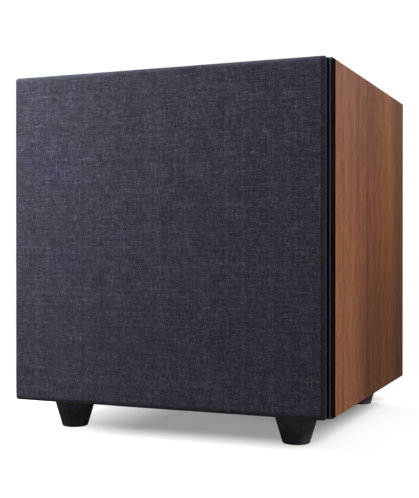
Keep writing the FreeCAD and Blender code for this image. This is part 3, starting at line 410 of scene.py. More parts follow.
def powder_coat(name, tone):
    mat = Mat(name, Specular_IOR_Level=0.5)
    grains = mat.noise(2400.0, detail=3.0, rough=0.6)
    lumps = mat.voronoi(1500.0, "SMOOTH_F1")
    col = mat.mix(grains.smooth(0.35, 0.7), tone, shaded(tone, gain=1.9, plus=0.004))
    return mat.finish(
        Base_Color=mat.mix(mat.edge_wear(0.0006) * 0.35, col, (0.16, 0.16, 0.165)),
        Roughness=grains.smooth(0.3, 0.7, 0.44, 0.62),
        Normal=mat.bump(lumps + grains * 0.5, strength=0.45, distance=0.00018,
                        normal=mat.soft_edge(0.0004)))


def metal(name, tone, rough, axis="y", lines=2600.0, metallic=1.0, stain=0.15):
    """Metal with scratches along one axis; lines is their rate across it."""
    mat = Mat(name, Metallic=metallic)
    stretched = mat.scaled(*(40.0 if letter == axis else lines for letter in "xyz"))
    scratch = mat.noise(detail=3.0, rough=0.6, at=stretched)
    cloud = mat.noise(90.0, detail=4.0, rough=0.6)
    col = mat.mix(scratch.smooth(0.35, 0.7) * 0.5, tone, shaded(tone, gain=0.78))
    col = mat.mix(cloud.smooth(0.5, 0.8) * stain, col, shaded(tone, gain=0.45))
    blur = cloud * 0.5 + scratch * 0.5
    return mat.finish(
        Base_Color=col, Roughness=blur.smooth(0.3, 0.7, rough - 0.07, rough + 0.12),
        Normal=mat.bump(scratch, strength=0.12, distance=0.00005, normal=mat.soft_edge(0.0002)))


def foam():
    mat = Mat("closed_cell_foam", Roughness=0.95)
    tone = (0.018, 0.018, 0.019)
    cells = mat.voronoi(1700.0)
    cloud = mat.noise(150.0, detail=3.0)
    col = mat.mix(cells.smooth(0.0, 0.5), shaded(tone, gain=1.8, plus=0.004), tone)
    return mat.finish(Base_Color=mat.mix(cloud * 0.4, col, shaded(tone, gain=0.7)),
                      Normal=mat.bump(cells, strength=0.7, distance=0.00025))


def paper():
    mat = Mat("pressed_pulp_cone", Specular_IOR_Level=0.35)
    x, _, z = mat.place.xyz()
    z = z + -AXIS_Z
    rings = (x * x + z * z).sqrt().wave(0.0042)
    pulp = mat.noise(700.0, detail=5.0, rough=0.68)
    hairs = mat.noise(detail=3.0, rough=0.6, at=mat.scaled(260.0, 260.0, 1300.0))
    col = mat.ramp(pulp, (0.3, (0.018, 0.018, 0.020)), (0.55, (0.034, 0.034, 0.037)),
                   (0.8, (0.060, 0.060, 0.064)))
    return mat.finish(
        Base_Color=mat.mix(hairs.smooth(0.62, 0.75) * 0.35, col, (0.12, 0.12, 0.125)),
        Roughness=pulp.smooth(0.3, 0.7, 0.50, 0.74),
        Normal=mat.bump(pulp * 0.6 + rings * 0.25, strength=0.5, distance=0.0003))


def spider_cloth():
    mat = Mat("treated_cotton_spider", Roughness=0.8)
    x, _, z = mat.place.xyz()
    weave = x.wave(0.0011) * z.wave(0.0011)
    tone = (weave * 0.5 + mat.noise(120.0, detail=3.0) * 0.7).linear(-0.2, 0.9)
    return mat.finish(Base_Color=mat.ramp(tone, (0.0, (0.28, 0.17, 0.06)),
                                          (0.5, (0.47, 0.31, 0.13)), (1.0, (0.62, 0.45, 0.22))),
                      Normal=mat.bump(weave, strength=0.4, distance=0.0002))


def ferrite():
    mat = Mat("sintered_ferrite", Roughness=0.62)
    grains = mat.noise(500.0, detail=5.0, rough=0.7)
    chips = mat.voronoi(260.0)
    col = mat.ramp(grains, (0.3, (0.035, 0.036, 0.038)), (0.6, (0.075, 0.076, 0.080)),
                   (0.85, (0.13, 0.13, 0.135)))
    return mat.finish(
        Base_Color=mat.mix(chips.smooth(0.0, 0.10, 1.0, 0.0) * 0.5, col, (0.16, 0.16, 0.165)),
        Normal=mat.bump(grains + chips * 0.3, strength=0.35, distance=0.0003,
                        normal=mat.soft_edge(0.0004)))


def winding(name, tone, pitch, rough):
    """Wire or braid with a turn every pitch along Y."""
    mat = Mat(name, Metallic=0.8, Roughness=rough)
    turns = mat.place.xyz()[1].wave(pitch)
    blot = mat.noise(300.0, detail=3.0)
    # painted shade in the grooves between the turns
    col = mat.mix(turns.smooth(-1.0, 0.6, 1.0, 0.0), tone, shaded(tone, gain=0.35))
    return mat.finish(
        Base_Color=mat.mix(blot.smooth(0.45, 0.7) * 0.4, col, shaded(tone, gain=0.7)),
        Normal=mat.bump(turns, strength=0.6, distance=0.0002))


def winding_tape():
    mat = Mat("amber_wound_tape", Metallic=0.55, Roughness=0.34)
    blot = mat.noise(180.0, detail=4.0, rough=0.6)
    col = mat.ramp(blot, (0.3, (0.24, 0.10, 0.02)), (0.55, (0.48, 0.24, 0.05)),
                   (0.8, (0.66, 0.38, 0.10)))
    return mat.finish(Base_Color=col, Normal=mat.bump(blot, strength=0.2, distance=0.0002))


def circuit():
    mat = Mat("solder_masked_board", Specular_IOR_Level=0.5)
    x, _, z = mat.place.xyz()
    tracks = mat.value("ShaderNodeTexBrick", {
        "Vector": mat.vec(x * 140.0, z * 140.0, 0.0), "Scale": 1.0, "Mortar Size": 0.06,
        "Mortar Smooth": 0.3, "Brick Width": 0.9, "Row Height": 0.35}, "Fac", offset=0.5)
    pads = mat.voronoi(at=mat.vec(x * 260.0, z * 260.0, 0.0), Randomness=0.55)
    col = mat.mix(tracks, (0.020, 0.105, 0.045), (0.045, 0.20, 0.085))
    col = mat.mix(pads.smooth(0.14, 0.20, 1.0, 0.0), col, (0.62, 0.61, 0.58))
    grime = mat.noise(200.0, detail=3.0)
    return mat.finish(Base_Color=mat.mix(grime * 0.2, col, (0.02, 0.05, 0.03)),
                      Roughness=grime.smooth(0.3, 0.7, 0.22, 0.42),
                      Normal=mat.bump(tracks, strength=0.4, distance=0.0001))


def wadding_fibre():
    mat = Mat("polyester_wadding", Roughness=1.0, Sheen_Weight=0.6, Sheen_Roughness=0.6)
    hair = mat.noise(380.0, detail=6.0, rough=0.75, distortion=1.2)
    tuft = mat.noise(45.0, detail=4.0, rough=0.6)
    col = mat.ramp(hair, (0.3, (0.52, 0.52, 0.50)), (0.55, (0.74, 0.74, 0.71)),
                   (0.8, (0.88, 0.88, 0.86)))
    return mat.finish(Base_Color=mat.mix(tuft * 0.25, col, (0.60, 0.59, 0.55)),
                      Normal=mat.bump(hair + tuft, strength=0.8, distance=0.001))


def fuse_glass():
    """Clear between two metal caps, one at each end along Y."""
    mat = Mat("fuse_glass_and_caps")
    y = mat.place.xyz()[1]
    cap = ((y < 0.148 - 0.0157) + (y > 0.148 - 0.0065)).least(1.0)
    smear = mat.noise(900.0, detail=3.0)
    cap_colour = mat.ramp(smear, (0.3, (0.45, 0.44, 0.42)), (0.7, (0.72, 0.71, 0.69)))
    return mat.finish(Base_Color=mat.mix(cap, (0.80, 0.84, 0.84), cap_colour), Metallic=cap,
                      Transmission_Weight=(1.0 - cap) * 0.85,
                      Roughness=smear.smooth(0.3, 0.7, 0.05, 0.22),
                      Normal=mat.bump(smear, strength=0.1, distance=0.00005))


def lens():
    mat = Mat("green_lens", Roughness=0.2, Emission_Strength=0.6)
    frost = mat.noise(1800.0, detail=3.0)
    return mat.finish(
        Base_Color=mat.ramp(frost, (0.3, (0.02, 0.30, 0.06)), (0.7, (0.05, 0.48, 0.11))),
        Emission_Color=mat.ramp(frost, (0.3, (0.03, 0.55, 0.10)), (0.7, (0.10, 0.85, 0.20))),
        Normal=mat.bump(frost, strength=0.15, distance=0.00005))


def insulator():
    """Red on the +X side of the socket pair, white on the other."""
    mat = Mat("phono_insulators", Roughness=0.35)
    red = mat.place.xyz()[0] > RCA_X
    speck = mat.noise(1500.0, detail=3.0)
    col = mat.mix(red, (0.78, 0.78, 0.75), (0.52, 0.018, 0.014))
    dull = mat.mix(red, (0.60, 0.60, 0.57), (0.32, 0.01, 0.008))
    return mat.finish(
        Base_Color=mat.mix(speck.smooth(0.4, 0.8) * 0.25, col, dull),
        Normal=mat.bump(speck, strength=0.2, distance=0.00005, normal=mat.soft_edge(0.0002)))


def ink():
    mat = Mat("screened_legend_ink", Roughness=0.55)
    speck = mat.noise(3000.0, detail=3.0)
    col = mat.ramp(speck, (0.25, (0.55, 0.55, 0.54)), (0.6, (0.80, 0.80, 0.78)))
    return mat.finish(Base_Color=col, Normal=mat.bump(speck, strength=0.2, distance=0.00003))


def knob():
    mat = Mat("knob_plastic", Specular_IOR_Level=0.5)
    x, y, z = mat.place.xyz()
    cloud = mat.noise(80.0, detail=3.0)
    col = mat.mix(cloud.smooth(0.3, 0.7), (0.020, 0.020, 0.021), (0.030, 0.030, 0.031))
    col = mat.mix(mat.edge_wear(0.0004) * 0.4, col, (0.12, 0.12, 0.12))
    # the pointer groove in the knob's face is filled with white paint
    groove = (y < 0.1613) * (y > 0.16085)
    from_middle = abs(x + -VOLUME_X).least(abs(x + -CROSSOVER_X))
    inside = (from_middle < 0.00071) * (abs(z + -(CONTROL_Z + 0.00645)) < 0.0040)
    return mat.finish(Base_Color=mat.mix(groove * inside, col, (0.82, 0.82, 0.80)),
                      Roughness=cloud.smooth(0.3, 0.7, 0.36, 0.48),
                      Normal=mat.bump(mat.voronoi(3200.0), strength=0.25, distance=0.00006,
                                      normal=mat.soft_edge(0.0003)))


MATS = {
    "fabric": grille_fabric(),
    "walnut": walnut(),
    "baffle": lacquer("black_baffle_lacquer", (0.0044, 0.0026, 0.0026), rough=0.62,
                      bevel=0.0006, face=(0.0120, 0.0120, 0.0128)),
    "rear": lacquer("black_rear_board", (0.0060, 0.0058, 0.0060), rough=0.55, bevel=0.0006,
                    wear=0.15, shine=0.10),
    "grille_board": lacquer("stained_grille_board", (0.0010, 0.0016, 0.0040), rough=0.85,
                            bevel=0.0003, peel=900.0),
    "board": fibreboard(),
    "feet": rubber("foot_rubber", (0.085, 0.081, 0.092), rough=0.60, rings=True),
    "surround": rubber("surround_rubber", (0.016, 0.016, 0.017), rough=0.42),
    "cable": rubber("cable_insulation", (0.30, 0.012, 0.010), rough=0.5),
    "plastic": plastic("black_moulding", (0.014, 0.014, 0.015)),
    "port": plastic("port_moulding", (0.013, 0.013, 0.0135), rough=0.46, texture=1900.0,
                    depth=0.4, edge=0.0005),
    "gloss": plastic("gloss_black_moulding", (0.010, 0.010, 0.010), rough=0.22,
                     texture=4000.0, depth=0.10),
    "white_plastic": plastic("white_acetal", (0.74, 0.74, 0.71), rough=0.35, depth=0.1),
    "sleeve": plastic("capacitor_sleeve", (0.015, 0.022, 0.060), rough=0.25,
                      texture=2200.0, depth=0.1),
    "powder": powder_coat("powder_coated_plate", (0.014, 0.014, 0.015)),
    "basket": powder_coat("powder_coated_basket", (0.018, 0.018, 0.020)),
    "black_screw": metal("black_oxide_steel", (0.045, 0.045, 0.048), rough=0.42,
                         lines=1800.0, metallic=0.7),
    "zinc": metal("zinc_plated_steel", (0.56, 0.57, 0.58), rough=0.34, axis="z"),
    "plated": metal("plated_brass", (0.62, 0.61, 0.58), rough=0.27),
    "gold": metal("gold_plating", (0.86, 0.62, 0.24), rough=0.22, lines=3400.0, stain=0.08),
    "motor_steel": metal("black_passivated_steel", (0.085, 0.085, 0.09), rough=0.45,
                         axis="x", lines=1500.0, metallic=0.85, stain=0.3),
    "foil": metal("former_foil", (0.78, 0.78, 0.80), rough=0.25, lines=2200.0),
    "braid": winding("tinsel_braid", (0.72, 0.42, 0.20), pitch=0.0011, rough=0.4),
    "copper": winding("enamelled_copper", (0.60, 0.22, 0.07), pitch=0.00042, rough=0.3),
    "foam": foam(),
    "paper": paper(),
    "spider": spider_cloth(),
    "ferrite": ferrite(),
    "circuit": circuit(),
    "wadding": wadding_fibre(),
    "glass": fuse_glass(),
    "lens": lens(),
    "insulator": insulator(),
    "ink": ink(),
    "knob": knob(),
    "tape": winding_tape(),
}

# material: the CAD pieces that wear it
LOOKS = {
    "baffle": "front_baffle",
    "rear": "rear_panel",
    "board": "left_panel right_panel top_panel bottom_panel",
    "walnut": "walnut_wrap",
    "port": "port_tube",
    "feet": "rubber_feet",
    "zinc": "foot_washers foot_screws transformer_bolt",
    "basket": "woofer_basket",
    "foam": "woofer_gasket trim_ring amp_gasket",
    "black_screw": "woofer_screws amp_screws",
    "paper": "cone dust_cap",
    "foil": "coil_former",
    "copper": "coil_winding",
    "motor_steel": "motor_top_plate motor_yoke",
    "ferrite": "magnet",
    "plated": "woofer_terminals control_pots pot_nuts volume_shaft crossover_shaft "
              "slide_switch_housings inlet_pins board_standoffs",
    "grille_board": "grille_frame",
    "plastic": "grille_pegs grille_sockets rca_housing mains_inlet fuse_drawer",
    "powder": "amp_plate",
    "knob": "volume_knob crossover_knob",
    "white_plastic": "phase_slider mode_slider",
    "gold": "rca_shells",
    "insulator": "rca_insulators",
    "lens": "status_light",
    "glass": "fuse",
    "gloss": "rocker_housing mains_rocker",
    "circuit": "control_board amp_board",
    "sleeve": "filter_capacitors",
    "cable": "speaker_wires",
}
for look, pieces in LOOKS.items():
    for piece in pieces.split():
        slots = nodes[piece].data.materials
        slots.clear()
        slots.append(MATS[look])


# =============================================================== mesh helpers
def obj_from(name, verts, faces, look, smooth=True, uv=None):
    mesh = bpy.data.meshes.new(name)
    mesh.from_pydata([tuple(v) for v in verts], [], [tuple(f) for f in faces])
    mesh.validate()
    mesh.update()
    obj = bpy.data.objects.new(name, mesh)
    bpy.context.scene.collection.objects.link(obj)
    mesh.materials.append(MATS[look])
    if smooth:
        mesh.polygons.foreach_set("use_smooth", [True] * len(mesh.polygons))
    if uv is not None:
        layer = mesh.uv_layers.new(name="weave")
        corners = np.zeros(len(mesh.loops), np.int32)
        mesh.loops.foreach_get("vertex_index", corners)
        layer.data.foreach_set("uv", np.asarray(uv, np.float32)[corners].ravel())
    return obj


def apply_all(obj):
    """Replaces the object's mesh by what its modifiers make of it."""
    graph = bpy.context.evaluated_depsgraph_get()
    mesh = bpy.data.meshes.new_from_object(obj.evaluated_get(graph),
                                           preserve_all_data_layers=True, depsgraph=graph)
    old = obj.data
    obj.modifiers.clear()
    obj.data = mesh
    bpy.data.meshes.remove(old)


def grid_faces(columns, rows):
    starts = [j * columns + i for j in range(rows - 1) for i in range(columns - 1)]
    return [(a, a + 1, a + columns + 1, a + columns) for a in starts]


def grid_rim(columns, rows):
    """Indices round the border of a grid, from its first vertex along the first row."""
    index = np.arange(columns * rows).reshape(rows, columns)
    return np.concatenate([index[0, :-1], index[:-1, -1], index[-1, :0:-1],
                           index[:0:-1, 0]]).tolist()


def sweep_faces(rings, around, closed=True):
    """Faces between rings of vertices, each with this many points around."""
    faces = []
    for ring in range(rings if closed else rings - 1):
        here, there = ring * around, (ring + 1) % rings * around
        for i in range(around):
            j = (i + 1) % around
            faces.append((here + i, here + j, there + j, there + i))
    return faces


def join(parts):
    verts, faces = [], []
    for part_verts, part_faces in parts:
        base = len(verts)
        verts += part_verts
        faces += [tuple(i + base for i in face) for face in part_faces]
    return verts, faces


def bilinear(grid, row, column):
    i, j = row.astype(int), column.astype(int)
    s, t = row - i, column - j
    return (grid[i, j] * (1 - t) * (1 - s) + grid[i, j + 1] * t * (1 - s)
            + grid[i + 1, j] * (1 - t) * s + grid[i + 1, j + 1] * t * s)


def sample(half, grid, x, z):
    """Reads a square grid that spans -half..half both ways, its rows along z."""
    last = len(grid) - 1
    column, row = (np.clip((v + half) / (2 * half) * last, 0, last - 1e-6) for v in (x, z))
    return bilinear(grid, row, column)


def lattice_noise(shape, cells, seed):
    """Smooth noise in -1..1 on a grid, the same every run."""
    knots = np.random.default_rng(seed).uniform(-1, 1, (cells[0] + 3, cells[1] + 3))
    places = []
    for count, span in zip(shape, cells):
        at = np.linspace(0, span - 1e-6, count)
        part = at - at.astype(int)
        places.append(at.astype(int) + part * part * (3 - 2 * part))
    row, column = np.meshgrid(*places, indexing="ij")
    return bilinear(knots, row, column)


# =============================================================== grille cloth
cloth_low, cloth_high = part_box("grille_cloth")
HALF_WIDTH = (cloth_high.x - cloth_low.x) / 2
HALF_HEIGHT = (cloth_high.z - cloth_low.z) / 2
CLOTH_Z = (cloth_high.z + cloth_low.z) / 2
CLOTH_FRONT, CLOTH_BACK = cloth_low.y, cloth_high.y
EDGE_R = 4.5 * MM                       # the roll from the front to the sides
CORNER_R = 2.5 * MM                     # corners, seen from the front
FLAT_CORNER_R = 0.8 * MM                # corners of the flat front
OPENING = 117.0 * MM                    # half the frame's opening
MAX_GIVE = 0.0006
SLUB_SPAN = 0.165                       # half the span of the relief grids


def drum_skin():
    """How far the cloth gives over the frame's opening: a stretched sheet, held all
    round, that relaxes under a light load.  Returns a square grid of depths."""
    count = 61
    side = np.linspace(-OPENING, OPENING, count)
    verts = [(x, 0.0, z) for z in side for x in side]
    obj = obj_from("tmp_skin", verts, grid_faces(count, count), "fabric")
    obj.vertex_groups.new(name="rim").add(grid_rim(count, count), 1.0, "REPLACE")
    modifier = obj.modifiers.new("cloth", "CLOTH")
    settings = modifier.settings
    settings.quality = 6
    settings.mass = 0.12
    settings.tension_stiffness = 60
    settings.compression_stiffness = 60
    settings.shear_stiffness = 20
    settings.bending_stiffness = 0.5
    settings.air_damping = 6
    settings.vertex_group_mass = "rim"
    settings.use_pressure = True
    settings.uniform_pressure_force = 0.03
    settings.effector_weights.gravity = 0.0
    last_frame = 14
    modifier.point_cache.frame_start = 1
    modifier.point_cache.frame_end = last_frame
    for number in range(1, last_frame + 1):
        bpy.context.scene.frame_set(number)
    apply_all(obj)
    depth = np.abs([v.co.y for v in obj.data.vertices]).reshape(count, count)
    bpy.context.scene.frame_set(1)
    bpy.data.objects.remove(obj)
    if depth.max() > 0:
        depth = depth * min(1.0, MAX_GIVE / depth.max())
    return depth


def outline(half_x, half_z, radius, us, vs):
    """Points round a rectangle with rounded corners, anticlockwise from the bottom
    left as seen from the front, with us and vs in -1..1 along its sides."""
    points = np.array([(half_x * u, -half_z) for u in us[:-1]]
                      + [(half_x, half_z * v) for v in vs[:-1]]
                      + [(half_x * u, half_z) for u in us[:0:-1]]
                      + [(-half_x, half_z * v) for v in vs[:0:-1]])
    reach = np.array([half_x - radius, half_z - radius])
    core = np.clip(points, -reach, reach)
    away = points - core
    length = np.linalg.norm(away, axis=1)
    bend = (np.abs(away) > 1e-12).all(axis=1)
    points[bend] = core[bend] + away[bend] / length[bend, None] * radius
    return points


def build_cloth():
    """Front sheet, its rounded rim and the short side behind it, as one surface
    with a thickness."""
    us, vs = np.linspace(-1, 1, 150), np.linspace(-1, 1, 149)
    columns, rows = len(us), len(vs)
    flat_x, flat_z = HALF_WIDTH - EDGE_R, HALF_HEIGHT - EDGE_R
    grid_x, grid_z = (g.ravel() for g in np.meshgrid(us * flat_x, vs * flat_z))
    front = np.stack([grid_x, np.full(grid_x.size, CLOTH_FRONT), grid_z], 1)
    front_uv = np.stack([grid_x, grid_z], 1)
    faces = grid_faces(columns, rows)
    rim = grid_rim(columns, rows)
    front[rim, ::2] = outline(flat_x, flat_z, FLAT_CORNER_R, us, vs)

    # (inset from the side, depth behind the front, run of cloth) going round the rim
    steps = []
    for degrees in range(9, 91, 9):
        turn = math.radians(degrees)
        steps.append((EDGE_R * (1 - math.sin(turn)), EDGE_R * (1 - math.cos(turn)),
                      EDGE_R * turn))
    rest = CLOTH_BACK - CLOTH_FRONT - EDGE_R
    steps += [(0.0, EDGE_R + rest * k / 2, EDGE_R * math.pi / 2 + rest * k / 2) for k in (1, 2)]

    count = len(rim)
    outward = np.repeat([(0, -1), (1, 0), (0, 1), (-1, 0)],
                        [columns - 1, rows - 1, columns - 1, rows - 1], axis=0)
    verts, uvs = [front], [front_uv]
    previous, start = rim, len(front)
    for inset, depth, run in steps:
        radius = max(CORNER_R - 0.45 * inset, FLAT_CORNER_R)
        loop = outline(HALF_WIDTH - inset, HALF_HEIGHT - inset, radius, us, vs)
        verts.append(np.stack([loop[:, 0], np.full(count, CLOTH_FRONT + depth), loop[:, 1]], 1))
        uvs.append(front_uv[rim] + outward * run)
        now = list(range(start, start + count))
        for k in range(count):
            q = (k + 1) % count
            faces.append((previous[q], previous[k], now[k], now[q]))
        previous = now
        start += count
    shell, uv = np.concatenate(verts), np.concatenate(uvs)

    # the front gives over the opening
    inside = ((np.arange(len(shell)) < columns * rows)
              & (np.abs(shell[:, 0]) < OPENING) & (np.abs(shell[:, 2]) < OPENING))
    give = sample(OPENING, drum_skin(), shell[:, 0], shell[:, 2])
    shell[:, 1] += np.where(inside, give, 0.0)

    # slubs stand a little proud of the weave, and the drawn sheet is never quite even
    def relief_layer(size, cells, seed):
        grid = lattice_noise((size, size), cells, seed)
        return sample(SLUB_SPAN, grid, uv[:, 0], uv[:, 1])

    relief = 0.055 * MM * relief_layer(64, (40, 40), seed=11) + 0.05 * MM * (
        relief_layer(160, (150, 18), seed=21) + relief_layer(160, (18, 150), seed=22))
    obj = obj_from("grille_cloth_sheet", shell, faces, "fabric", uv=uv * 1000.0)
    normals = np.zeros(len(shell) * 3)
    obj.data.vertices.foreach_get("normal", normals)
    places = shell + normals.reshape(-1, 3) * (relief - 0.06 * MM)[:, None]
    places[:, 2] += CLOTH_Z
    obj.data.vertices.foreach_set("co", places.astype(np.float32).ravel())
    obj.data.update()
    solid = obj.modifiers.new("thickness", "SOLIDIFY")
    solid.thickness = 0.55 * MM
    solid.offset = -1.0
    solid.use_even_offset = False
    apply_all(obj)
    return obj


cloth = build_cloth()
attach(cloth, "grille")
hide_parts("grille_cloth")


# =============================================================== woofer soft parts
# Profiles are (depth behind the baffle's face, radius from the woofer's axis) in mm.
BAFFLE_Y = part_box("front_baffle")[0].y
AXIS = Vector((0, BAFFLE_Y, AXIS_Z))


def lathe(name, profile, look, segments):
    """A closed ring about the woofer's axis."""
    verts = []
    for k in range(segments):
        angle = 2 * math.pi * k / segments
        for depth, radius in profile:
            verts.append((AXIS.x + radius * MM * math.cos(angle), AXIS.y + depth * MM,
                          AXIS.z + radius * MM * math.sin(angle)))
    return obj_from(name, verts, sweep_faces(segments, len(profile)), look)


def stretch(obj):
    """Bakes the object's placement into its mesh."""
    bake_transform(obj)


def surround_profile():
    """Half-roll: outer lip on the basket, roll, inner lip on the cone."""
    thickness = 0.62
    front = [(1.25, 91.8), (1.2, 89.5), (1.22, 86.9)]
    for k in range(1, 24):
        angle = math.pi * k / 24
        front.append((1.2 - 5.9 * math.sin(angle) ** 0.92, 80 + 5.95 * math.cos(angle)))
    front += [(1.22, 73.2), (1.25, 71.5), (1.28, 69.9)]
    back = []
    for i, (depth, radius) in enumerate(front):
        before = front[max(i - 1, 0)]
        after = front[min(i + 1, len(front) - 1)]
        run_depth, run_radius = after[0] - before[0], after[1] - before[1]
        length = math.hypot(run_depth, run_radius)
        back.append((depth - run_radius / length * thickness,
                     radius + run_depth / length * thickness))
    return front + back[::-1]


def spider_profile():
    """Corrugations that fade out at both rims, between flat lips."""
    outer, inner, fade = 54.0, 23.5, 2.0
    depth, height, pitch, thickness = 40.45, 1.45, 6.1, 0.5
    front = [(depth, 63.3), (depth, 55.0)]
    for k in range(101):
        radius = outer - (outer - inner) * k / 100
        swell = max(min(1.0, (outer - radius) / fade, (radius - inner) / fade), 0)
        ripple = math.sin(2 * math.pi * (outer - radius) / pitch)
        front.append((depth + height * swell * ripple, radius))
    front += [(depth, 22.0), (depth, 19.75)]
    return front + [(s + thickness, r) for s, r in reversed(front)]


surround = lathe("surround_roll", surround_profile(), "surround", 192)
stretch(surround)
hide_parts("surround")

spider = lathe("spider_corrugated", spider_profile(), "spider", 160)
stretch(spider)
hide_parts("spider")


def tube(points, radius, segments):
    """A round bar along the points, capped at both ends."""
    points = [Vector(p) for p in points]
    verts = []
    up = None
    count = len(points)
    for i, point in enumerate(points):
        along = (points[min(i + 1, count - 1)] - points[max(i - 1, 0)]).normalized()
        if up is None:
            up = along.orthogonal().normalized()
        up = (up - along * up.dot(along)).normalized()
        side = along.cross(up)
        for k in range(segments):
            angle = 2 * math.pi * k / segments
            verts.append(point + up * (math.cos(angle) * radius)
                         + side * (math.sin(angle) * radius))
    faces = sweep_faces(count, segments, closed=False)
    faces.append(tuple(range(segments))[::-1])
    faces.append(tuple(range((count - 1) * segments, count * segments)))
    return verts, faces


def lead(side):
    """Three twisted strands on an arc; side is its x, all in mm from the axis."""
    centre_y, centre_z = 34.3, -52.15
    start_y, start_z = 43.0 - centre_y, -67.4 + centre_z * -1
    end_y, end_z = 16.4 - centre_y, -50.0 + centre_z * -1
    arc_radius = math.hypot(start_y, start_z)
    first = math.atan2(start_z, start_y)
    last = math.atan2(end_z, end_y) - 2 * math.pi
    twists, strand_offset, strand_radius = 11, 0.33, 0.30
    parts = []
    for strand in range(3):
        points = []
        for k in range(121):
            share = k / 120
            angle = first + (last - first) * share
            turn = 2 * math.pi * (share * twists + strand / 3)
            radius = arc_radius + strand_offset * math.cos(turn)
            points.append((AXIS.x + (side + strand_offset * math.sin(turn)) * MM,
                           AXIS.y + (centre_y + radius * math.cos(angle)) * MM,
                           AXIS.z + (centre_z + radius * math.sin(angle)) * MM))
        parts.append(tube(points, strand_radius * MM, 7))
    return join(parts)


leads = obj_from("tinsel_braids", *join([lead(-13), lead(13)]), "braid")
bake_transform(leads)
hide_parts("tinsel_leads")


# =============================================================== wadding
def batt(low, high, axis, seed):
    """A pad that fills the box low..high, thin along axis, crumpled and thinner at
    its rims."""
    low, high = Vector(low), Vector(high)
    size = high - low
    first, second = [i for i in range(3) if i != axis]
    count = 34
    rim_width, shift = 0.010, 0.006
    coarse = [lattice_noise((count, count), (9, 9), seed + k) for k in (0, 1)]
    small = [lattice_noise((count, count), (22, 22), seed + k) for k in (2, 3)]
    verts = []
    for layer in (0, 1):
        for j in range(count):
            for i in range(count):
                u, v = i / (count - 1), j / (count - 1)
                edge_u, edge_v = min(u, 1 - u), min(v, 1 - v)
                edge = min(1.0, min(edge_u * size[first], edge_v * size[second]) / rim_width)
                fat = math.sqrt(max(0.0, 1 - (1 - edge) ** 2))
                lumps = 0.86 + 0.10 * coarse[layer][i, j] + 0.04 * small[layer][i, j]
                thick = size[axis] / 2 * (0.25 + 0.75 * fat) * lumps
                u += shift * coarse[1 - layer][i, j] * (edge_u > 0)
                v += shift * coarse[layer][j, i] * (edge_v > 0)
                point = [0, 0, 0]
                point[first] = low[first] + size[first] * u
                point[second] = low[second] + size[second] * v
                point[axis] = (low[axis] + high[axis]) / 2 + (thick if layer else -thick)
                verts.append(tuple(point))
    total = count * count
    faces = []
    for a, b, c, d in grid_faces(count, count):
        faces.append((a, d, c, b))
        faces.append((total + a, total + b, total + c, total + d))
    rim = grid_rim(count, count)
    for a, b in zip(rim, rim[1:] + rim[:1]):
        faces.append((a, b, total + b, total + a))
    return verts, faces


def build_wadding():
    """Batts inside the two side walls and the top."""
    near, far = 120.3 * MM, 134.3 * MM
    parts = [
        batt((-far, -0.118, 0.056), (-near, 0.118, 0.300), axis=0, seed=101),
        batt((near, -0.118, 0.056), (far, 0.118, 0.300), axis=0, seed=201),
        batt((-0.112, -0.118, 0.2963), (0.112, 0.118, 0.3103), axis=2, seed=301),
    ]
    obj = obj_from("wadding_batts", *join(parts), "wadding")
    bm = bmesh.new()
    bm.from_mesh(obj.data)
    bmesh.ops.recalc_face_normals(bm, faces=bm.faces)
    bm.to_mesh(obj.data)
    bm.free()
    soft = obj.modifiers.new("soft", "SUBSURF")
    soft.levels = soft.render_levels = 1
    apply_all(obj)
    return obj


wadding = build_wadding()
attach(wadding, "cabinet")
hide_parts("wadding_pads")


# =============================================================== transformer
def build_toroid():
    """A toroid about Y whose turns stand proud of its rounded-square section."""
    low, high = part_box("transformer")
    centre = (low + high) / 2
    outer, inner = (high.x - low.x) / 2, 10 * MM
    middle = (outer + inner) / 2
    margin, proud = 0.5 * MM, 0.22 * MM
    half_width = (outer - inner) / 2 - margin
    half_depth = (high.y - low.y) / 2 - margin
    rings, around, turns = 720, 44, 120

    def squared(value):
        return math.copysign(abs(value) ** (2 / 3.2), value)

    verts = []
    for k in range(rings):
        angle = 2 * math.pi * k / rings
        for i in range(around):
            section = 2 * math.pi * i / around
            across = squared(math.cos(section)) * half_width
            depth = squared(math.sin(section)) * half_depth
            lift = proud * math.sin(angle * turns + section * 0.5)
            scale = 1 + lift / math.hypot(across, depth)
            radius = middle + across * scale
            verts.append((centre.x + radius * math.cos(angle), centre.y + depth * scale,
                          centre.z + radius * math.sin(angle)))
    return obj_from("transformer_wound", verts, sweep_faces(rings, around), "tape")


transformer = build_toroid()
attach(transformer, "cabinet")
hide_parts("transformer")


# =============================================================== legends on the plate
PLATE_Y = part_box("amp_plate")[1].y
# (x of the knob, steps of the scale, steps to a long tick, numbers)
DIALS = (
    (VOLUME_X, 20, 5, ("0", "2", "5", "7", "10")),
    (CROSSOVER_X, 10, 2, ("40", "60", "80", "100", "120", "150")),
)
UPRIGHT = math.pi / 2


def dash(x, z, length, width, angle=0.0):
    """A thin raised bar of ink on the plate, its ends rounded."""
    along_x, along_z = math.cos(angle), math.sin(angle)
    radius = width / 2
    reach = length / 2 - radius
    edge = []
    for end, start in ((reach, -math.pi / 2), (-reach, math.pi / 2)):
        for k in range(5):
            turn = start + math.pi * k / 4
            edge.append((end + radius * math.cos(turn), radius * math.sin(turn)))
    verts = [(x + along_x * a - along_z * b, y, z + along_z * a + along_x * b)
             for y in (PLATE_Y + 0.00002, PLATE_Y + 0.00009) for a, b in edge]
    count = len(edge)
    faces = [tuple(range(count)), tuple(range(count, 2 * count))[::-1]]
    for i in range(count):
        j = (i + 1) % count
        faces.append((j, i, count + i, count + j))
    return verts, faces


def dial_direction(step, steps):
    """Seen from behind, so that the scale still rises clockwise."""
    angle = math.radians(240 - 300 * step / steps)
    return -math.cos(angle), math.sin(angle)


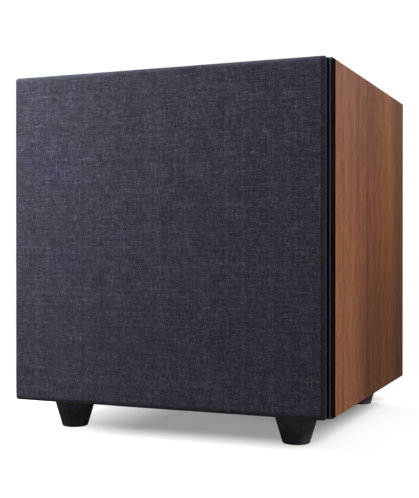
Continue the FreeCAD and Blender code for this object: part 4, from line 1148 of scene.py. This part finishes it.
def dial_marks(centre_x, steps, long_every):
    marks = []
    for k in range(steps + 1):
        x, z = dial_direction(k, steps)
        outer, width = (17.2, 0.55) if k % long_every == 0 else (16.0, 0.35)
        inner, outer = 14.0 * MM, outer * MM
        middle = (inner + outer) / 2
        marks.append(dash(centre_x + x * middle, CONTROL_Z + z * middle, outer - inner,
                          width * MM, math.atan2(z, x)))
    return marks


def build_legend():
    marks = []
    for x, steps, long_every, _ in DIALS:
        marks += dial_marks(x, steps, long_every)
    # ticks above and below the slots of the slide switches
    for x, ticks in ((PHASE_X, (-2, 2)), (MODE_X, (-2.5, 0, 2.5))):
        for tick in ticks:
            for offset, length in ((5.0, 2.0), (-5.0, 1.2)):
                marks.append(dash(x + tick * MM, CONTROL_Z + offset * MM, length * MM,
                                  0.45 * MM, UPRIGHT))
    # a frame round the phono sockets
    half_x, half_z = 18 * MM, 11.5 * MM
    for z in (RCA_Z + half_z, RCA_Z - half_z):
        marks.append(dash(RCA_X, z, 2 * half_x, 0.4 * MM))
    for x in (RCA_X - half_x, RCA_X + half_x):
        marks.append(dash(x, RCA_Z, 2 * half_z, 0.4 * MM, UPRIGHT))
    # on and off marks of the rocker: a bar and a ring
    offset, ring = 14.5 * MM, 1.9 * MM
    marks.append(dash(ROCKER_X + offset, ROCKER_Z, 4 * MM, 0.6 * MM, UPRIGHT))
    for k in range(20):
        angle = 2 * math.pi * k / 20
        marks.append(dash(ROCKER_X - offset + ring * math.cos(angle),
                          ROCKER_Z + ring * math.sin(angle), 0.85 * MM, 0.5 * MM,
                          angle + math.pi / 2))
    # one thin rule between the controls and the connectors
    marks.append(dash(0.0, 0.1265, 150 * MM, 0.35 * MM))
    return obj_from("plate_legend", *join(marks), "ink", smooth=False)


legend = build_legend()
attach(legend, "cabinet")


def number(text, x, z, size):
    """The mesh of a number on the plate, readable from behind."""
    curve = bpy.data.curves.new("num", "FONT")
    curve.body = text
    curve.size = size
    curve.align_x, curve.align_y = "CENTER", "CENTER"
    curve.extrude = 0.00003
    curve.resolution_u = 4
    obj = bpy.data.objects.new("num", curve)
    bpy.context.scene.collection.objects.link(obj)
    obj.rotation_euler = (math.radians(90), 0, math.radians(180))
    obj.location = (x, PLATE_Y + 0.00006, z)
    bpy.context.view_layer.update()
    graph = bpy.context.evaluated_depsgraph_get()
    mesh = bpy.data.meshes.new_from_object(obj.evaluated_get(graph), depsgraph=graph)
    mesh.transform(obj.matrix_world)
    bpy.data.objects.remove(obj)
    return mesh


def build_numbers():
    radius, size, small = 20.2 * MM, 2.8 * MM, 2.4 * MM
    digits = []
    for centre_x, _, _, labels in DIALS:
        for k, text in enumerate(labels):
            x, z = dial_direction(k, len(labels) - 1)
            digits.append(number(text, centre_x + x * radius, CONTROL_Z + z * radius, size))
    digits.append(number("0", PHASE_X - 2 * MM, CONTROL_Z + 8.5 * MM, small))
    digits.append(number("180", PHASE_X + 2 * MM, CONTROL_Z - 7.5 * MM, small))
    bm = bmesh.new()
    for mesh in digits:
        bm.from_mesh(mesh)
    bmesh.ops.remove_doubles(bm, verts=bm.verts, dist=1e-7)
    joined = bpy.data.meshes.new("dial_numbers")
    bm.to_mesh(joined)
    bm.free()
    for mesh in digits:
        bpy.data.meshes.remove(mesh)
    obj = bpy.data.objects.new("dial_numbers", joined)
    bpy.context.scene.collection.objects.link(obj)
    joined.materials.append(MATS["ink"])
    return obj


numbers = build_numbers()
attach(numbers, "cabinet")


# =============================================================== stage
scene = bpy.context.scene


def pale_floor():
    """The camera sees a white sweep, while the object gets only a little light from it."""
    mat = Mat("pale_floor", Roughness=0.6, Specular_IOR_Level=0.1)
    grain = mat.noise(500.0)
    seen = mat.value("ShaderNodeLightPath", out="Is Camera Ray")
    white = mat.ramp(grain, (0.3, (1.08, 1.08, 1.08)), (0.7, (1.12, 1.12, 1.12)))
    mat.finish(Base_Color=mat.mix(seen, (0.16, 0.16, 0.16), white))
    glow = mat.value("ShaderNodeEmission", {"Color": (1.0, 1.0, 1.0),
                                            "Strength": seen * 0.93 + 0.07})
    # the share of glow grows away from the box
    x, y, _ = mat.place.xyz()
    x = x + -0.04
    far = (x * x + y * y).sqrt().smooth(0.20, 0.50, 0.38, 1.0)
    # painted light in the box's shadow: under the box the glow has its own share, largest
    # towards the front and the -X side
    x, y, _ = mat.place.xyz()
    inside = ((x.smooth(-0.168, -0.140) * x.smooth(0.165, 0.132))
              * (y.smooth(-0.178, -0.150) * y.smooth(0.172, 0.140)))
    shadow_fill_light = 0.30 + x.smooth(-0.04, -0.13) * 0.40 + y.smooth(-0.095, -0.155) * 0.60
    shadow_fill_light = shadow_fill_light + (y.smooth(-0.07, 0.06) * x.smooth(-0.04, 0.10)) * -0.16
    share = far * (1.0 - inside) + shadow_fill_light * inside
    blend = mat.value("ShaderNodeMixShader",
                      {0: share, 1: Value(mat, mat.bsdf.outputs[0]), 2: glow})
    mat.put(mat.out.inputs["Surface"], blend)
    return mat.data


def build_floor():
    half = 30.0
    mesh = bpy.data.meshes.new("floor")
    corners = [(-half, -half, 0.0), (half, -half, 0.0), (half, half, 0.0), (-half, half, 0.0)]
    mesh.from_pydata(corners, [], [(0, 1, 2, 3)])
    obj = bpy.data.objects.new("floor", mesh)
    scene.collection.objects.link(obj)
    mesh.materials.append(pale_floor())
    return obj


def build_world():
    """Dim blue-white light; the camera itself sees plain white."""
    world = bpy.data.worlds.new("studio")
    scene.world = world
    world.use_nodes = True
    tree = world.node_tree
    dim = tree.nodes["Background"]
    dim.inputs["Color"].default_value = (0.92, 0.96, 1.0, 1.0)
    dim.inputs["Strength"].default_value = 0.05
    bright = tree.nodes.new("ShaderNodeBackground")
    bright.inputs["Color"].default_value = (1.0, 1.0, 1.0, 1.0)
    bright.inputs["Strength"].default_value = 1.02
    path = tree.nodes.new("ShaderNodeLightPath")
    pick = tree.nodes.new("ShaderNodeMixShader")
    tree.links.new(path.outputs["Is Camera Ray"], pick.inputs[0])
    tree.links.new(dim.outputs[0], pick.inputs[1])
    tree.links.new(bright.outputs[0], pick.inputs[2])
    tree.links.new(pick.outputs[0], tree.nodes["World Output"].inputs["Surface"])


def area(name, at, target, size, power, colour=(1, 1, 1)):
    light = bpy.data.lights.new(name, "AREA")
    light.shape = "RECTANGLE"
    light.size, light.size_y = size
    light.energy = power
    light.color = colour
    obj = bpy.data.objects.new(name, light)
    scene.collection.objects.link(obj)
    obj.location = at
    obj.rotation_mode = "QUATERNION"
    obj.rotation_quaternion = (Vector(target) - Vector(at)).to_track_quat("-Z", "Y")


def build_camera():
    camera = bpy.data.cameras.new("camera")
    obj = bpy.data.objects.new("camera", camera)
    scene.collection.objects.link(obj)
    camera.sensor_width = 36.0
    camera.lens = 70.749398
    camera.clip_start, camera.clip_end = 0.01, 200.0
    obj.location = (0.36237098, -0.9293113, 0.17157044)
    yaw, pitch = math.radians(22.325), math.radians(-0.2404)
    forward = Vector((-math.sin(yaw) * math.cos(pitch), math.cos(yaw) * math.cos(pitch),
                      math.sin(pitch)))
    obj.rotation_mode = "QUATERNION"
    obj.rotation_quaternion = forward.to_track_quat("-Z", "Y")
    scene.camera = obj


floor = build_floor()
build_world()

FRONT_TARGET, REAR_TARGET = (-0.05, -0.15, 0.20), (0.0, 0.15, 0.15)
COOL, WARM = (0.97, 0.985, 1.0), (1.0, 0.98, 0.95)
area("key", at=(-0.42, -0.42, 0.60), target=FRONT_TARGET, size=(0.30, 0.30), power=8.2,
     colour=COOL)
area("key_side", at=(-0.62, -0.36, 0.56), target=FRONT_TARGET, size=(0.30, 0.50), power=5.4,
     colour=COOL)
area("side", at=(0.90, -0.25, 0.75), target=(0.15, 0, 0.18), size=(0.50, 0.50), power=12.2,
     colour=WARM)
area("back_right", at=(0.9, 1.5, 1.1), target=REAR_TARGET, size=(1.0, 1.0), power=16.0)
area("back_left", at=(-1.2, 1.3, 0.9), target=REAR_TARGET, size=(0.9, 0.9), power=14.0)

scene.view_settings.view_transform = "Standard"
scene.view_settings.look = "None"
scene.view_settings.exposure = 0.0
build_camera()

bpy.context.view_layer.update()
